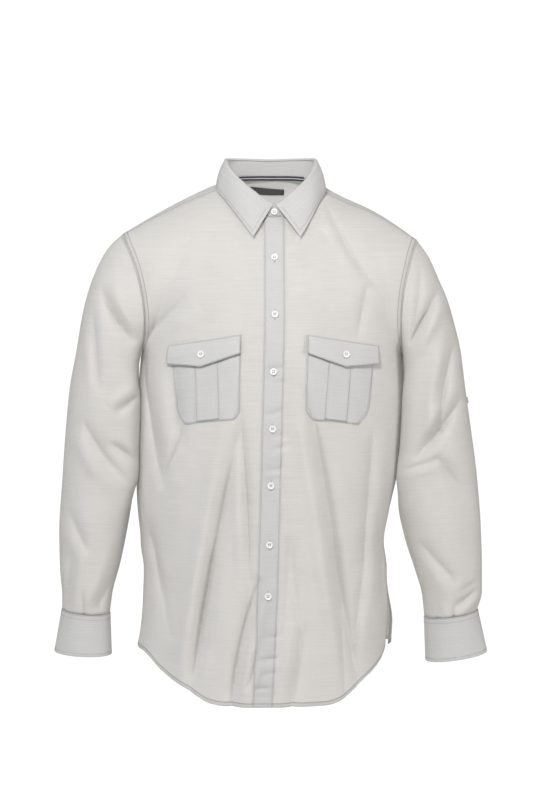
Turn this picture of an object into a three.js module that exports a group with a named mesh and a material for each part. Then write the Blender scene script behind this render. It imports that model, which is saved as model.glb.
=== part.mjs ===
// A long-sleeved button-down shirt, filled out as if worn, with nobody in it.
// Millimetres, +Z up, the front faces -Y and the wearer's left is +X.
// The origin is the inside of the neck seam at the centre of the back.

import * as THREE from 'three';

// Cloth and seams
const WALL = 1.5;          // one layer of cloth with its turnings
const SEAM = 0.3;          // space between two pieces at a seam
const LAYER_WALL = 1.2;    // a pocket, flap or strip sewn on a panel
const COVER_LIFT = 0.9;    // the placket's inner face over the fronts' inner face
const UNDER_LIFT = -1.1;   // the button stand's inner face under the placket

// Lengths along the middle of the body, counted from the front hem, up the front,
// round one side of the neck, and down the back to the back hem
const HEM_Z = -806;
const PIT_Z = -63;                 // the bottom of the neck, at the front
const ROW = {
  frontHem: 0,
  underarm: 530,
  neckPit: 743,
  frontYoke: 850,
  shoulder: 865,
  nape: 963,
  backYoke: 1061,
  backUnderarm: 1239,
  backHem: 1769,
};

// The neck seam, seen from above, is round with a low front
const NECK = { halfWidth: 74, middleY: -66, deep: 66, power: 1.9 };

// The armhole is a tall ring; beta is 0 at the underarm, 90 in front, 180 on top
const ARMHOLE = { x: 215.5, y: -87, z: -185.5, tilt: 12.5, tall: 92.5 };
const SHOULDER_TILT = 4.5; // the wearer's left shoulder is lower and the right one higher
const ARMHOLE_FRONT = { deep: 66, hollow: 16.5 };
const ARMHOLE_BACK = { deep: 64, hollow: 7.5 };

// Down the centre front: how far forward the cloth is, and how far it leans sideways
const FRONT_LINE = [
  { z: -806, y: -230, lean: -11 },
  { z: -635, y: -227, lean: -2.9 },
  { z: -557, y: -225, lean: -0.5 },
  { z: -467, y: -223, lean: 1.8 },
  { z: -380, y: -221, lean: 3.8 },
  { z: -295, y: -217, lean: 5.9 },
  { z: -208, y: -204, lean: 7.7 },
  { z: -165, y: -191, lean: 7.6 },
  { z: -126, y: -174, lean: 7.4 },
  { z: -90, y: -152, lean: 7 },
  { z: -63, y: -132, lean: 7 },
];

// Down the centre back
const BACK_LINE = [
  { z: -806, y: 52 },
  { z: -706, y: 47 },
  { z: -556, y: 44 },
  { z: -406, y: 47 },
  { z: -276, y: 53 },
  { z: -206, y: 52 },
  { z: -150, y: 47 },
  { z: -98, y: 38 },
  { z: -60, y: 27 },
  { z: -30, y: 14 },
  { z: 0, y: 0 },
];

// How high each row's outer end is on the side seam; the rows crowd at the underarm,
// so that they turn smoothly from the side seam onto the armhole
const SIDE_ROWS = [
  { row: 0, z: -735 },
  { row: 318, z: -461 },
  { row: 530, z: -278 },
  { row: 570, z: -278 },
];

// Down the side seams
const SIDE_LINE = [
  { z: -735, half: 194, lean: -13, y: -92 },
  { z: -700, half: 192.5, lean: -9, y: -92 },
  { z: -660, half: 191.5, lean: -7, y: -92 },
  { z: -612, half: 190, lean: -7, y: -92 },
  { z: -569, half: 190, lean: -12, y: -92 },
  { z: -516, half: 196.5, lean: -10, y: -92 },
  { z: -455, half: 203.5, lean: -4, y: -92 },
  { z: -331, half: 206, lean: 2, y: -90 },
  { z: -278, half: 203, lean: 3, y: -87 },
];

// Which point of the armhole each row of the body runs out to
const ARMHOLE_ROWS = [
  { row: 490, beta: 0 },
  { row: 530, beta: 0 },
  { row: 640, beta: 60 },
  { row: 743, beta: 114 },
  { row: 835, beta: 153 },
  { row: 865, beta: 180 },
  { row: 963, beta: 202 },
  { row: 1061, beta: 226 },
  { row: 1150, beta: 292 },
  { row: 1239, beta: 360 },
  { row: 1280, beta: 360 },
];

// How far the armholes stand towards the wearer's left
const ARMHOLE_LEAN = [
  { beta: 0, lean: 3 },
  { beta: 60, lean: 5 },
  { beta: 114, lean: 3 },
  { beta: 153, lean: 0 },
  { beta: 226, lean: 0 },
  { beta: 292, lean: 2 },
  { beta: 360, lean: 3 },
];

// How full each row is between the middle and the side: where the two inner control
// points of its curve lie, as a share of the width, and how far in front of the ends.
// level is the power by which the row drops on its way out.
const FULLNESS = [
  { row: 0, inX: 0.6, outX: 1, inY: 0, outY: -83, level: 1 },
  { row: 300, inX: 0.6, outX: 1, inY: 0, outY: -80, level: 1 },
  { row: 530, inX: 0.6, outX: 1, inY: 0, outY: -77, level: 1 },
  { row: 640, inX: 0.6, outX: 0.82, inY: -4, outY: -22, level: 1.15 },
  { row: 743, inX: 0.4, outX: 0.8, inY: -12, outY: -11, level: 1.2 },
  { row: 835, inX: 0.34, outX: 0.7, inY: -16, outY: 4, level: 1.2 },
  { row: 865, inX: 0.34, outX: 0.7, inY: -10, outY: 9, level: 1.2 },
  { row: 963, inX: 0.34, outX: 0.7, inY: 2, outY: 32, level: 1.3 },
  { row: 1061, inX: 0.5, outX: 0.85, inY: 6, outY: 40, level: 1.3 },
  { row: 1150, inX: 0.6, outX: 0.9, inY: 4, outY: 32, level: 1.1 },
  { row: 1239, inX: 0.6, outX: 1, inY: 0, outY: 84, level: 1 },
  { row: 1769, inX: 0.6, outX: 1, inY: 0, outY: 84, level: 1 },
];

// The tail: the back hem rises from the middle to the side between these shares of the
// width, and the front hem by the shares in its own tables
const TAIL = { from: 0.2, to: 0.8, fades: 300 };
const HEM_RISE_LEFT = [
  { out: 0, rise: 0 },
  { out: 0.32, rise: 0 },
  { out: 0.4, rise: 0.07 },
  { out: 0.5, rise: 0.28 },
  { out: 0.6, rise: 0.5 },
  { out: 0.7, rise: 0.66 },
  { out: 0.8, rise: 0.82 },
  { out: 0.9, rise: 0.95 },
  { out: 1, rise: 1 },
];
const HEM_RISE_RIGHT = [
  { out: 0, rise: 0 },
  { out: 0.17, rise: 0.01 },
  { out: 0.25, rise: 0.06 },
  { out: 0.32, rise: 0.19 },
  { out: 0.4, rise: 0.36 },
  { out: 0.5, rise: 0.54 },
  { out: 0.6, rise: 0.73 },
  { out: 0.7, rise: 0.92 },
  { out: 0.8, rise: 1 },
  { out: 1, rise: 1 },
];

// Sleeve rings from the armhole to the cuff seam, each given by its outermost and
// innermost points, its middle's y, and how deep it is to the front and to the back
const SLEEVE_DEPTH = [
  { ring: 0, midY: -87, front: 66, back: 64 },
  { ring: 2, midY: -90, front: 68, back: 66 },
  { ring: 5, midY: -93, front: 68, back: 66 },
  { ring: 7, midY: -98, front: 64, back: 62 },
  { ring: 9, midY: -106, front: 57, back: 55 },
  { ring: 11, midY: -113, front: 49, back: 47 },
  { ring: 12, midY: -115, front: 45, back: 44 },
];
const SLEEVE_LEFT = [
  { ring: 0, outX: 228, outZ: -93, inX: 203, inZ: -278 },
  { ring: 1, outX: 246, outZ: -119, inX: 209.5, inZ: -292 },
  { ring: 2, outX: 264, outZ: -160, inX: 213, inZ: -312 },
  { ring: 3, outX: 277, outZ: -192, inX: 213.5, inZ: -335 },
  { ring: 4, outX: 287.5, outZ: -228, inX: 213.5, inZ: -362 },
  { ring: 5, outX: 297, outZ: -268, inX: 212.5, inZ: -390 },
  { ring: 6, outX: 305.5, outZ: -332, inX: 210.5, inZ: -422 },
  { ring: 7, outX: 314.5, outZ: -395, inX: 206.5, inZ: -462 },
  { ring: 8, outX: 323.5, outZ: -464, inX: 203, inZ: -508 },
  { ring: 9, outX: 330, outZ: -545, inX: 212, inZ: -558 },
  { ring: 10, outX: 332, outZ: -607, inX: 229, inZ: -612 },
  { ring: 11, outX: 332, outZ: -645, inX: 240, inZ: -650 },
  { ring: 12, outX: 325, outZ: -673, inX: 244, inZ: -685 },
];
const SLEEVE_RIGHT = [
  { ring: 0, outX: 228, outZ: -93, inX: 203, inZ: -278 },
  { ring: 1, outX: 252, outZ: -115, inX: 209, inZ: -292 },
  { ring: 2, outX: 270.5, outZ: -147, inX: 210.5, inZ: -310 },
  { ring: 3, outX: 284, outZ: -183, inX: 210.5, inZ: -333 },
  { ring: 4, outX: 293.5, outZ: -224, inX: 211, inZ: -360 },
  { ring: 5, outX: 301, outZ: -269, inX: 212, inZ: -388 },
  { ring: 6, outX: 311.5, outZ: -326, inX: 213, inZ: -420 },
  { ring: 7, outX: 319.5, outZ: -407, inX: 214.5, inZ: -462 },
  { ring: 8, outX: 324, outZ: -472, inX: 218, inZ: -507 },
  { ring: 9, outX: 329, outZ: -550, inX: 226, inZ: -556 },
  { ring: 10, outX: 328, outZ: -607, inX: 236, inZ: -603 },
  { ring: 11, outX: 324.5, outZ: -650, inX: 248, inZ: -648 },
  { ring: 12, outX: 324.5, outZ: -672, inX: 252, inZ: -679 },
];

// The sleeve stands off the armhole at the underarm and behind, to clear the body's edge
const UNDERARM = { power: 2, behind: 0.8 };

// Cuffs, from the seam to the bottom edge
const CUFF_WALL = 2;
const CUFF_LAP = { at: 236, ahead: 16, lift: 2.4, rise: 10 };
const CUFF_LEFT = [
  { ring: 0, outX: 325, outZ: -674.2, inX: 244, inZ: -686.2, midY: -115, deep: 44.5 },
  { ring: 1, outX: 340, outZ: -740.5, inX: 246.5, inZ: -755, midY: -118, deep: 39 },
];
const CUFF_RIGHT = [
  { ring: 0, outX: 324.5, outZ: -673.2, inX: 252, inZ: -680.2, midY: -115, deep: 44.5 },
  { ring: 1, outX: 336.5, outZ: -740, inX: 250, inZ: -745, midY: -118, deep: 39 },
];

// The collar: the height of its top fold round the neck, and the stand below it
const FOLD_LINE = [
  { theta: 0, z: 28.5 },
  { theta: 45, z: 28 },
  { theta: 90, z: 24.5 },
  { theta: 110, z: 14 },
  { theta: 130, z: -1 },
  { theta: 153, z: -20 },
  { theta: 180, z: -41 },
  { theta: 207, z: -20 },
];
const STAND = { halfWidth: 66, middleY: -64, deep: 60, wall: 1.6, lift: 2, below: 4 };
const STAND_LAP = { past: 11, from: 166, to: 178, apart: 0.95 };
const LEAF = { wall: 1.5, roll: 1.9, endTheta: 178.2, puff: 2, slopeGap: 1 };
const POINT_LEAN = 10.7;   // the two collar points stand this far to the wearer's left

// The leaf's edge, from the centre back to the collar point, just clear of the body
const LEAF_EDGE = [
  { theta: 0, x: 0, y: 12.5, z: -16 },
  { theta: 25, x: 37, y: 8, z: -13 },
  { theta: 50, x: 69, y: -10, z: -4.5 },
  { theta: 75, x: 83, y: -45, z: -9 },
  { theta: 95, x: 84.5, y: -76, z: -17.5 },
  { theta: 116, x: 72, y: -106, z: -37 },
  { theta: 137, x: 60, y: -128, z: -55.5 },
  { theta: 157, x: 48, y: -145, z: -74 },
  { theta: 178.2, x: 36, y: -160, z: -92 },
];

// The placket down the front
const PLACKET_HALF = 15.3;
const FRONT_EDGE = PLACKET_HALF + SEAM;
const BUTTON_STAND_END = 13;

// Pockets, flaps and pleat strips: x from the placket's middle, and height
const POCKET = [
  { row: 0, innerX: 50, innerZ: -248, outerX: 154, outerZ: -265 },
  { row: 1, innerX: 50, innerZ: -300, outerX: 150, outerZ: -312 },
  { row: 2, innerX: 50, innerZ: -348, outerX: 145.5, outerZ: -356 },
  { row: 3, innerX: 58, innerZ: -366, outerX: 130, outerZ: -375 },
];
const PLEAT = [
  { row: 0, innerX: 84.5, innerZ: -268, outerX: 118, outerZ: -273 },
  { row: 1, innerX: 79.5, innerZ: -366.5, outerX: 113, outerZ: -371.5 },
];
const FLAP = { innerX: 50, outerX: 159, topInner: -239, topOuter: -257 };
const FLAP_BOTTOM = [
  { across: 0, z: -267 },
  { across: 0.53, z: -288 },
  { across: 1, z: -285 },
];
const FLAP_LIFT = [
  { down: 0, lift: 2.6 },
  { down: 0.25, lift: 4.4 },
  { down: 0.6, lift: 6 },
  { down: 1, lift: 7 },
];
const POCKET_LIFT = 2.4;   // from the front's inner face; the cloth between is curved
const PLEAT_LIFT = 4.1;

// The folds, seen from the front: where each trough starts and ends, how far its
// middle bows sideways, how wide it is and how deep
const FRONT_FOLDS = [
  { x0: -38, z0: -340, x1: -33, z1: -620, bow: 4, wide: 12, deep: 6 },
  { x0: -32, z0: -590, x1: -54, z1: -830, bow: 6, wide: 12, deep: 9 },
  { x0: -46, z0: -450, x1: -102, z1: -830, bow: 12, wide: 14, deep: 8 },
  { x0: -190, z0: -270, x1: -172, z1: -450, bow: 0, wide: 11, deep: 6 },
  { x0: -140, z0: -350, x1: -122, z1: -480, bow: 4, wide: 12, deep: 4 },
  { x0: -182, z0: -560, x1: -160, z1: -700, bow: 6, wide: 12, deep: 5 },
  { x0: 66, z0: -370, x1: 99, z1: -640, bow: 10, wide: 13, deep: 8 },
  { x0: 98, z0: -600, x1: 122, z1: -830, bow: -5, wide: 13, deep: 9 },
  { x0: 52, z0: -560, x1: 40, z1: -830, bow: 4, wide: 13, deep: 5 },
  { x0: 147, z0: -560, x1: 136, z1: -760, bow: 0, wide: 11, deep: 6 },
  { x0: 90, z0: -26, x1: 186, z1: -212, bow: -6, wide: 11, deep: 5 },
  { x0: -62, z0: -40, x1: -128, z1: -215, bow: 5, wide: 15, deep: 3 },
  { x0: -258, z0: -170, x1: -200, z1: -300, bow: 4, wide: 11, deep: 9 },
  { x0: -272, z0: -176, x1: -262, z1: -250, bow: 0, wide: 9, deep: 5 },
  { x0: -236, z0: -350, x1: -200, z1: -338, bow: 0, wide: 10, deep: 6 },
  { x0: -300, z0: -400, x1: -232, z1: -500, bow: -10, wide: 14, deep: -4 },
  { x0: -240, z0: -570, x1: -276, z1: -670, bow: 5, wide: 11, deep: 5 },
  { x0: 262, z0: -185, x1: 204, z1: -262, bow: -14, wide: 11, deep: 9 },
  { x0: 290, z0: -255, x1: 270, z1: -400, bow: 5, wide: 12, deep: 6 },
  { x0: 300, z0: -345, x1: 222, z1: -430, bow: -6, wide: 13, deep: 7 },
  { x0: 262, z0: -425, x1: 236, z1: -470, bow: 0, wide: 10, deep: 4 },
  { x0: 326, z0: -640, x1: 290, z1: -684, bow: 0, wide: 8, deep: 5 },
];

// Folds fade out towards the side seams, as a share of the width, and the shoulder ridge
const FOLDS_FADE = { side: 0.86, shoulder: 40 };

// The folds of the back, seen from the front through the cloth
const BACK_FOLDS = [
  { x0: -70, z0: -130, x1: -88, z1: -420, bow: 4, wide: 15, deep: 4 },
  { x0: 74, z0: -130, x1: 92, z1: -440, bow: -4, wide: 15, deep: 4 },
  { x0: -20, z0: -430, x1: -46, z1: -830, bow: 6, wide: 15, deep: 8 },
  { x0: 34, z0: -400, x1: 52, z1: -830, bow: -6, wide: 16, deep: 8 },
  { x0: -92, z0: -520, x1: -112, z1: -830, bow: 5, wide: 14, deep: 7 },
  { x0: 106, z0: -480, x1: 118, z1: -830, bow: -5, wide: 14, deep: 7 },
  { x0: -186, z0: -290, x1: -150, z1: -470, bow: 6, wide: 12, deep: 5 },
  { x0: 188, z0: -290, x1: 150, z1: -480, bow: -6, wide: 12, deep: 5 },
  { x0: -262, z0: -190, x1: -206, z1: -300, bow: 8, wide: 12, deep: 7 },
  { x0: 262, z0: -190, x1: 208, z1: -296, bow: -8, wide: 12, deep: 7 },
  { x0: -300, z0: -420, x1: -228, z1: -500, bow: 8, wide: 13, deep: 6 },
  { x0: 302, z0: -410, x1: 226, z1: -495, bow: -8, wide: 13, deep: 6 },
  { x0: -316, z0: -600, x1: -270, z1: -660, bow: 0, wide: 10, deep: 4 },
  { x0: 318, z0: -596, x1: 268, z1: -660, bow: 0, wide: 10, deep: 4 },
];

// Buttons
const BUTTON = { radius: 5.4, thick: 2.4, rim: 0.9, dish: 0.7, sides: 14 };
const FRONT_BUTTON_Z = [-53.5, -123.3, -208, -294.8, -380.5, -466.8, -556.6, -635.2];
const FLAP_BUTTON = { x: 107.8, z: -269.5, lift: 7.3 };
const TAB_BUTTON = { ring: 6.25, left: 184, right: 206 };

// Colours, from pale dry cotton, white buttons and the dark tape and label
const CLOTH = new THREE.MeshStandardMaterial({ color: 0xd8d8d4, roughness: 0.9, metalness: 0 });
const DOUBLE_CLOTH = new THREE.MeshStandardMaterial({ color: 0xd2d3d3, roughness: 0.9, metalness: 0 });
const BUTTON_WHITE = new THREE.MeshStandardMaterial({ color: 0xf4f4f2, roughness: 0.35, metalness: 0 });
const TAPE_NAVY = new THREE.MeshStandardMaterial({ color: 0x23252e, roughness: 0.8, metalness: 0 });
const LABEL_GREY = new THREE.MeshStandardMaterial({ color: 0x34343a, roughness: 0.7, metalness: 0 });

const DEGREE = Math.PI / 180;
const mix = (a, b, t) => a + (b - a) * t;
const clamp = (value, low, high) => Math.min(high, Math.max(low, value));

function smoothstep(from, to, value) {
  const t = clamp((value - from) / (to - from), 0, 1);
  return t * t * (3 - 2 * t);
}

// A smooth curve through a table's rows: the column's value where key equals at
function read(table, key, column, at) {
  const last = table.length - 1;
  const rising = table[last][key] > table[0][key];
  const place = (i) => (rising ? table[i][key] : -table[i][key]);
  const x = rising ? at : -at;
  if (x <= place(0)) return table[0][column];
  if (x >= place(last)) return table[last][column];
  let i = 0;
  while (x > place(i + 1)) i += 1;
  const slope = (k) => {
    if (k <= 0 || k >= last) return 0;
    const before = (table[k][column] - table[k - 1][column]) / (place(k) - place(k - 1));
    const after = (table[k + 1][column] - table[k][column]) / (place(k + 1) - place(k));
    return before * after <= 0 ? 0 : (2 * before * after) / (before + after);
  };
  const endSlope = (k) => {
    const inner = k <= 0 ? 0 : last - 1;
    return (table[inner + 1][column] - table[inner][column]) / (place(inner + 1) - place(inner));
  };
  const slopeAt = (k) => (k <= 0 || k >= last ? endSlope(k) : slope(k));
  const span = place(i + 1) - place(i);
  const t = (x - place(i)) / span;
  const a = table[i][column];
  const b = table[i + 1][column];
  const ma = slopeAt(i) * span;
  const mb = slopeAt(i + 1) * span;
  const t2 = t * t;
  const t3 = t2 * t;
  return a * (2 * t3 - 3 * t2 + 1) + ma * (t3 - 2 * t2 + t) + b * (3 * t2 - 2 * t3) + mb * (t3 - t2);
}

// The depth of the folds at a place seen from the front
function foldDepth(folds, x, z) {
  let total = 0;
  for (const fold of folds) {
    const dx = fold.x1 - fold.x0;
    const dz = fold.z1 - fold.z0;
    const length = Math.hypot(dx, dz);
    const along = ((x - fold.x0) * dx + (z - fold.z0) * dz) / (length * length);
    if (along <= 0 || along >= 1) continue;
    const bow = fold.bow * 4 * along * (1 - along);
    const across = ((x - fold.x0) * dz - (z - fold.z0) * dx) / length + bow;
    const taper = Math.sin(Math.PI * along) ** 0.7;
    total += fold.deep * taper * Math.exp(-((across / fold.wide) ** 2));
  }
  return total;
}

// The neck seam at theta degrees from the centre back
function neckPoint(theta) {
  const angle = theta * DEGREE;
  const front = (1 - Math.cos(angle)) / 2;
  return {
    x: NECK.halfWidth * Math.sin(angle),
    lean: FRONT_LINE[FRONT_LINE.length - 1].lean * front * front,
    y: NECK.middleY + NECK.deep * Math.cos(angle),
    z: PIT_Z * front ** NECK.power,
  };
}

// The armhole ring, with x counted outwards
function armholePoint(beta) {
  const angle = beta * DEGREE;
  const part = Math.sin(angle) >= 0 ? ARMHOLE_FRONT : ARMHOLE_BACK;
  const sine = Math.sin(angle);
  return {
    x: ARMHOLE.x - ARMHOLE.tilt * Math.cos(angle) - part.hollow * sine * sine,
    y: ARMHOLE.y - part.deep * sine,
    z: ARMHOLE.z - ARMHOLE.tall * Math.cos(angle),
    tilt: (SHOULDER_TILT * (1 - Math.cos(angle))) / 2,
  };
}

const thetaOfRow = (row) => (180 * (ROW.nape - row)) / (ROW.nape - ROW.neckPit);

// The inner end of a row: centre front, neck seam or centre back
function innerEnd(row) {
  if (row <= ROW.neckPit) {
    const z = HEM_Z + row;
    return { x: 0, y: read(FRONT_LINE, 'z', 'y', z), z, lean: read(FRONT_LINE, 'z', 'lean', z) };
  }
  if (row < ROW.nape) return neckPoint(thetaOfRow(row));
  const z = ROW.nape - row;
  const lean = z > SIDE_LINE[SIDE_LINE.length - 1].z ? 0 : read(SIDE_LINE, 'z', 'lean', z);
  return { x: 0, y: read(BACK_LINE, 'z', 'y', z), z, lean: lean * smoothstep(-300, -420, z) };
}

// The outer end of a row: side seam or armhole
function outerEnd(row) {
  const side = row < ROW.underarm || row > ROW.backUnderarm;
  if (!side) {
    const beta = read(ARMHOLE_ROWS, 'row', 'beta', row);
    return { ...armholePoint(beta), lean: read(ARMHOLE_LEAN, 'beta', 'lean', beta) };
  }
  const z = read(SIDE_ROWS, 'row', 'z', Math.min(row, ROW.backHem - row));
  return {
    x: read(SIDE_LINE, 'z', 'half', z),
    y: read(SIDE_LINE, 'z', 'y', z),
    z,
    lean: read(SIDE_LINE, 'z', 'lean', z),
  };
}

const bezier = (a, b, c, d, t) => {
  const s = 1 - t;
  return a * s * s * s + 3 * b * s * s * t + 3 * c * s * t * t + d * t * t * t;
};

// A row's curve before the folds: x counted outwards from the middle
function rowCurve(row, side) {
  const inner = innerEnd(row);
  const outer = outerEnd(row);
  const width = outer.x - inner.x;
  const column = (name) => read(FULLNESS, 'row', name, row);
  const fromHem = Math.min(row, ROW.backHem - row);
  const tail = 1 - smoothstep(0, TAIL.fades, fromHem);
  const level = column('level');
  const inX = inner.x + width * column('inX');
  const outX = inner.x + width * column('outX');
  const inY = inner.y + column('inY');
  const outY = outer.y + column('outY');
  const rise = (out) => {
    if (row > ROW.shoulder) return smoothstep(TAIL.from, TAIL.to, out);
    return read(side > 0 ? HEM_RISE_LEFT : HEM_RISE_RIGHT, 'out', 'rise', out);
  };
  return (across) => {
    const out = Math.abs(across);
    const drop = mix(out ** level, tail > 0 ? rise(out) : 0, tail);
    return {
      x: bezier(inner.x, inX, outX, outer.x, out),
      y: bezier(inner.y, inY, outY, outer.y, out),
      z: mix(inner.z, outer.z, drop),
      lean: mix(inner.lean, outer.lean, out),
      tilt: (outer.tilt ?? 0) * out * out,
    };
  };
}

// The body's inner face: across is 0 in the middle and 1 at the side, side is 1 or -1
function body(across, row, side) {
  const point = rowCurve(row, across < 0 ? -side : side)(across);
  const x = (across < 0 ? -1 : 1) * side * point.x + point.lean;
  const front = row < ROW.shoulder;
  const folds = front ? FRONT_FOLDS : BACK_FOLDS;
  const atSide = smoothstep(1, FOLDS_FADE.side, Math.abs(across));
  const fade = atSide * smoothstep(0, FOLDS_FADE.shoulder, Math.abs(row - ROW.shoulder));
  const depth = foldDepth(folds, x, point.z) * fade;
  return new THREE.Vector3(x, point.y + (front ? depth : -depth), point.z - side * point.tilt);
}

// How far across a row lies at a distance from the middle
function acrossAt(distance, row) {
  const curve = rowCurve(row, 1);
  let low = 0;
  let high = 1;
  if (curve(0).x >= distance) return 0;
  for (let i = 0; i < 40; i += 1) {
    const middle = (low + high) / 2;
    if (curve(middle).x < distance) low = middle;
    else high = middle;
  }
  return (low + high) / 2;
}

// The body at a distance from the middle line, which may be negative
function bodyAt(distance, row, side) {
  const across = acrossAt(Math.abs(distance), row);
  return body(distance < 0 ? -across : across, row, side);
}

// The front at a distance from the placket's middle and a height
function frontAt(distance, z, side) {
  let low = ROW.frontHem;
  let high = ROW.neckPit;
  for (let i = 0; i < 40; i += 1) {
    const middle = (low + high) / 2;
    if (bodyAt(distance, middle, side).z < z) low = middle;
    else high = middle;
  }
  return bodyAt(distance, (low + high) / 2, side);
}

// A sleeve's inner face at a ring and an angle
function sleeve(table, ring, beta, side) {
  const angle = beta * DEGREE;
  const column = (name) => read(table, 'ring', name, ring);
  const shape = (name) => read(SLEEVE_DEPTH, 'ring', name, ring);
  const cosine = Math.cos(angle);
  const sine = Math.sin(angle);
  const facing = sine >= 0 ? 'front' : 'back';
  const part = sine >= 0 ? ARMHOLE_FRONT : ARMHOLE_BACK;
  const near = 1 - smoothstep(0, 3, ring);
  const under = 2 * WALL * ((1 + cosine) / 2) ** UNDERARM.power;
  const behind = UNDERARM.behind * Math.max(0, -sine);
  const round = (SEAM + under + behind) * (1 - smoothstep(0, 1, ring));
  const lean = read(ARMHOLE_LEAN, 'beta', 'lean', ((beta % 360) + 360) % 360) * near;
  const middleX = (column('outX') + column('inX')) / 2;
  const middleZ = (column('outZ') + column('inZ')) / 2;
  const halfX = (column('outX') - column('inX')) / 2;
  const halfZ = (column('outZ') - column('inZ')) / 2;
  const hollow = part.hollow * sine * sine * near;
  const x = middleX - halfX * cosine - hollow + round;
  const tilt = (side * SHOULDER_TILT * near * (1 - cosine)) / 2;
  const z = middleZ - halfZ * cosine - tilt;
  const depth = foldDepth(sine >= 0 ? FRONT_FOLDS : BACK_FOLDS, side * x, z);
  const pressed = depth * Math.abs(sine) ** 0.6 * smoothstep(0, 1, ring);
  const y = shape('midY') - sine * (shape(facing) - pressed);
  return new THREE.Vector3(side * x + lean, y, z);
}

// A cuff's inner face: turn runs once round and past itself, where it laps over
function cuff(table, down, turn, side) {
  const beta = CUFF_LAP.at + turn;
  const angle = beta * DEGREE;
  const column = (name) => read(table, 'ring', name, down);
  const cosine = Math.cos(angle);
  const over = CUFF_LAP.lift * smoothstep(360 - CUFF_LAP.rise, 360, turn);
  const middleX = (column('outX') + column('inX')) / 2;
  const middleZ = (column('outZ') + column('inZ')) / 2;
  const halfX = (column('outX') - column('inX')) / 2 + over;
  const halfZ = (column('outZ') - column('inZ')) / 2;
  const y = column('midY') - Math.sin(angle) * (column('deep') + over);
  return new THREE.Vector3(side * (middleX - halfX * cosine), y, middleZ - halfZ * cosine);
}

// The collar stand's inner face; theta runs past the front on both sides, to lap
function stand(theta, up) {
  const bottom = neckPoint(theta);
  const angle = theta * DEGREE;
  const front = (1 - Math.cos(angle)) / 2;
  const topX = STAND.halfWidth * Math.sin(angle);
  const topY = STAND.middleY + STAND.deep * Math.cos(angle);
  const topZ = read(FOLD_LINE, 'theta', 'z', Math.abs(theta)) - STAND.below;
  const lean = FRONT_LINE[FRONT_LINE.length - 1].lean * front * front;
  const length = Math.hypot(topX - bottom.x, topY - bottom.y, topZ - bottom.z);
  const share = mix(STAND.lift / length, 1, up);
  const { from, to, apart } = STAND_LAP;
  const lap = apart * smoothstep(from, to, Math.abs(theta)) * Math.sign(theta);
  const x = mix(bottom.x, topX, share) + lean + lap * Math.sin(angle);
  const y = mix(bottom.y, topY, share) + lap * Math.cos(angle);
  return new THREE.Vector3(x, y, mix(bottom.z, topZ, share));
}

// The collar leaf's inner face: down is 0 over the stand's top edge, 1 at its own edge
const ROLL_SHARE = 0.12;
function leaf(theta, down, side) {
  const angle = theta * DEGREE;
  const outward = new THREE.Vector3(side * Math.sin(angle), Math.cos(angle), 0);
  const base = stand(side * theta, 1);
  base.z += SEAM + LEAF.slopeGap * smoothstep(90, 150, theta);
  const centre = base.clone().addScaledVector(outward, STAND.wall / 2 + LEAF.roll / 2);
  if (down <= ROLL_SHARE) {
    const roll = Math.PI * (1 - down / ROLL_SHARE);
    centre.addScaledVector(outward, LEAF.roll * Math.cos(roll));
    centre.z += LEAF.roll * Math.sin(roll);
    return centre;
  }
  const start = centre.addScaledVector(outward, LEAF.roll);
  const share = (down - ROLL_SHARE) / (1 - ROLL_SHARE);
  const edge = (name) => read(LEAF_EDGE, 'theta', name, theta);
  const lean = POINT_LEAN * smoothstep(60, 180, theta);
  const end = new THREE.Vector3(side * edge('x') + lean, edge('y'), edge('z'));
  const puff = LEAF.puff * Math.sin(Math.PI * share);
  start.lerp(end, share);
  start.addScaledVector(outward, puff);
  start.z += puff * 0.5;
  return start;
}

// The direction square to a surface, pointing out of the shirt when sign is right
function normalAt(surface, u, v, sign, stepU = 0.004, stepV = 0.5) {
  const alongU = surface(u + stepU, v).sub(surface(u - stepU, v));
  const alongV = surface(u, v + stepV).sub(surface(u, v - stepV));
  return alongU.cross(alongV).normalize().multiplyScalar(sign);
}

// A sheet of cloth: patches of points with their outward directions, joined where
// they meet, then given a wall between two distances from the points
class Sheet {
  constructor() {
    this.points = [];
    this.normals = [];
    this.quads = [];
    this.known = new Map();
  }

  vertex(point, normal) {
    const key = [point.x, point.y, point.z].map((value) => Math.round(value * 500)).join(' ');
    if (!this.known.has(key)) {
      this.known.set(key, this.points.length);
      this.points.push(point);
      this.normals.push(new THREE.Vector3());
    }
    const index = this.known.get(key);
    this.normals[index].add(normal);
    return index;
  }

  patch(rows, flip = false) {
    const grid = rows.map((row) => row.map(({ point, normal }) => this.vertex(point, normal)));
    for (let j = 0; j + 1 < grid.length; j += 1) {
      for (let i = 0; i + 1 < grid[j].length; i += 1) {
        const quad = [grid[j][i], grid[j][i + 1], grid[j + 1][i + 1], grid[j + 1][i]];
        this.quads.push(flip ? quad.reverse() : quad);
      }
    }
    return this;
  }

  solid(inner, outer) {
    const count = this.points.length;
    const position = [];
    for (const offset of [inner, outer]) {
      this.points.forEach((point, i) => {
        const moved = point.clone().addScaledVector(this.normals[i].clone().normalize(), offset);
        position.push(moved.x, moved.y, moved.z);
      });
    }
    const index = [];
    const add = (a, b, c, d) => index.push(a, b, c, a, c, d);
    const edges = new Map();
    for (const [a, b, c, d] of this.quads) {
      add(a + count, b + count, c + count, d + count);
      add(a, d, c, b);
      for (const [from, to] of [[a, b], [b, c], [c, d], [d, a]]) edges.set(`${from} ${to}`, [from, to]);
    }
    for (const [from, to] of edges.values()) {
      if (!edges.has(`${to} ${from}`)) add(from + count, from, to, to + count);
    }
    return closedGeometry(position, index);
  }
}

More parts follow.
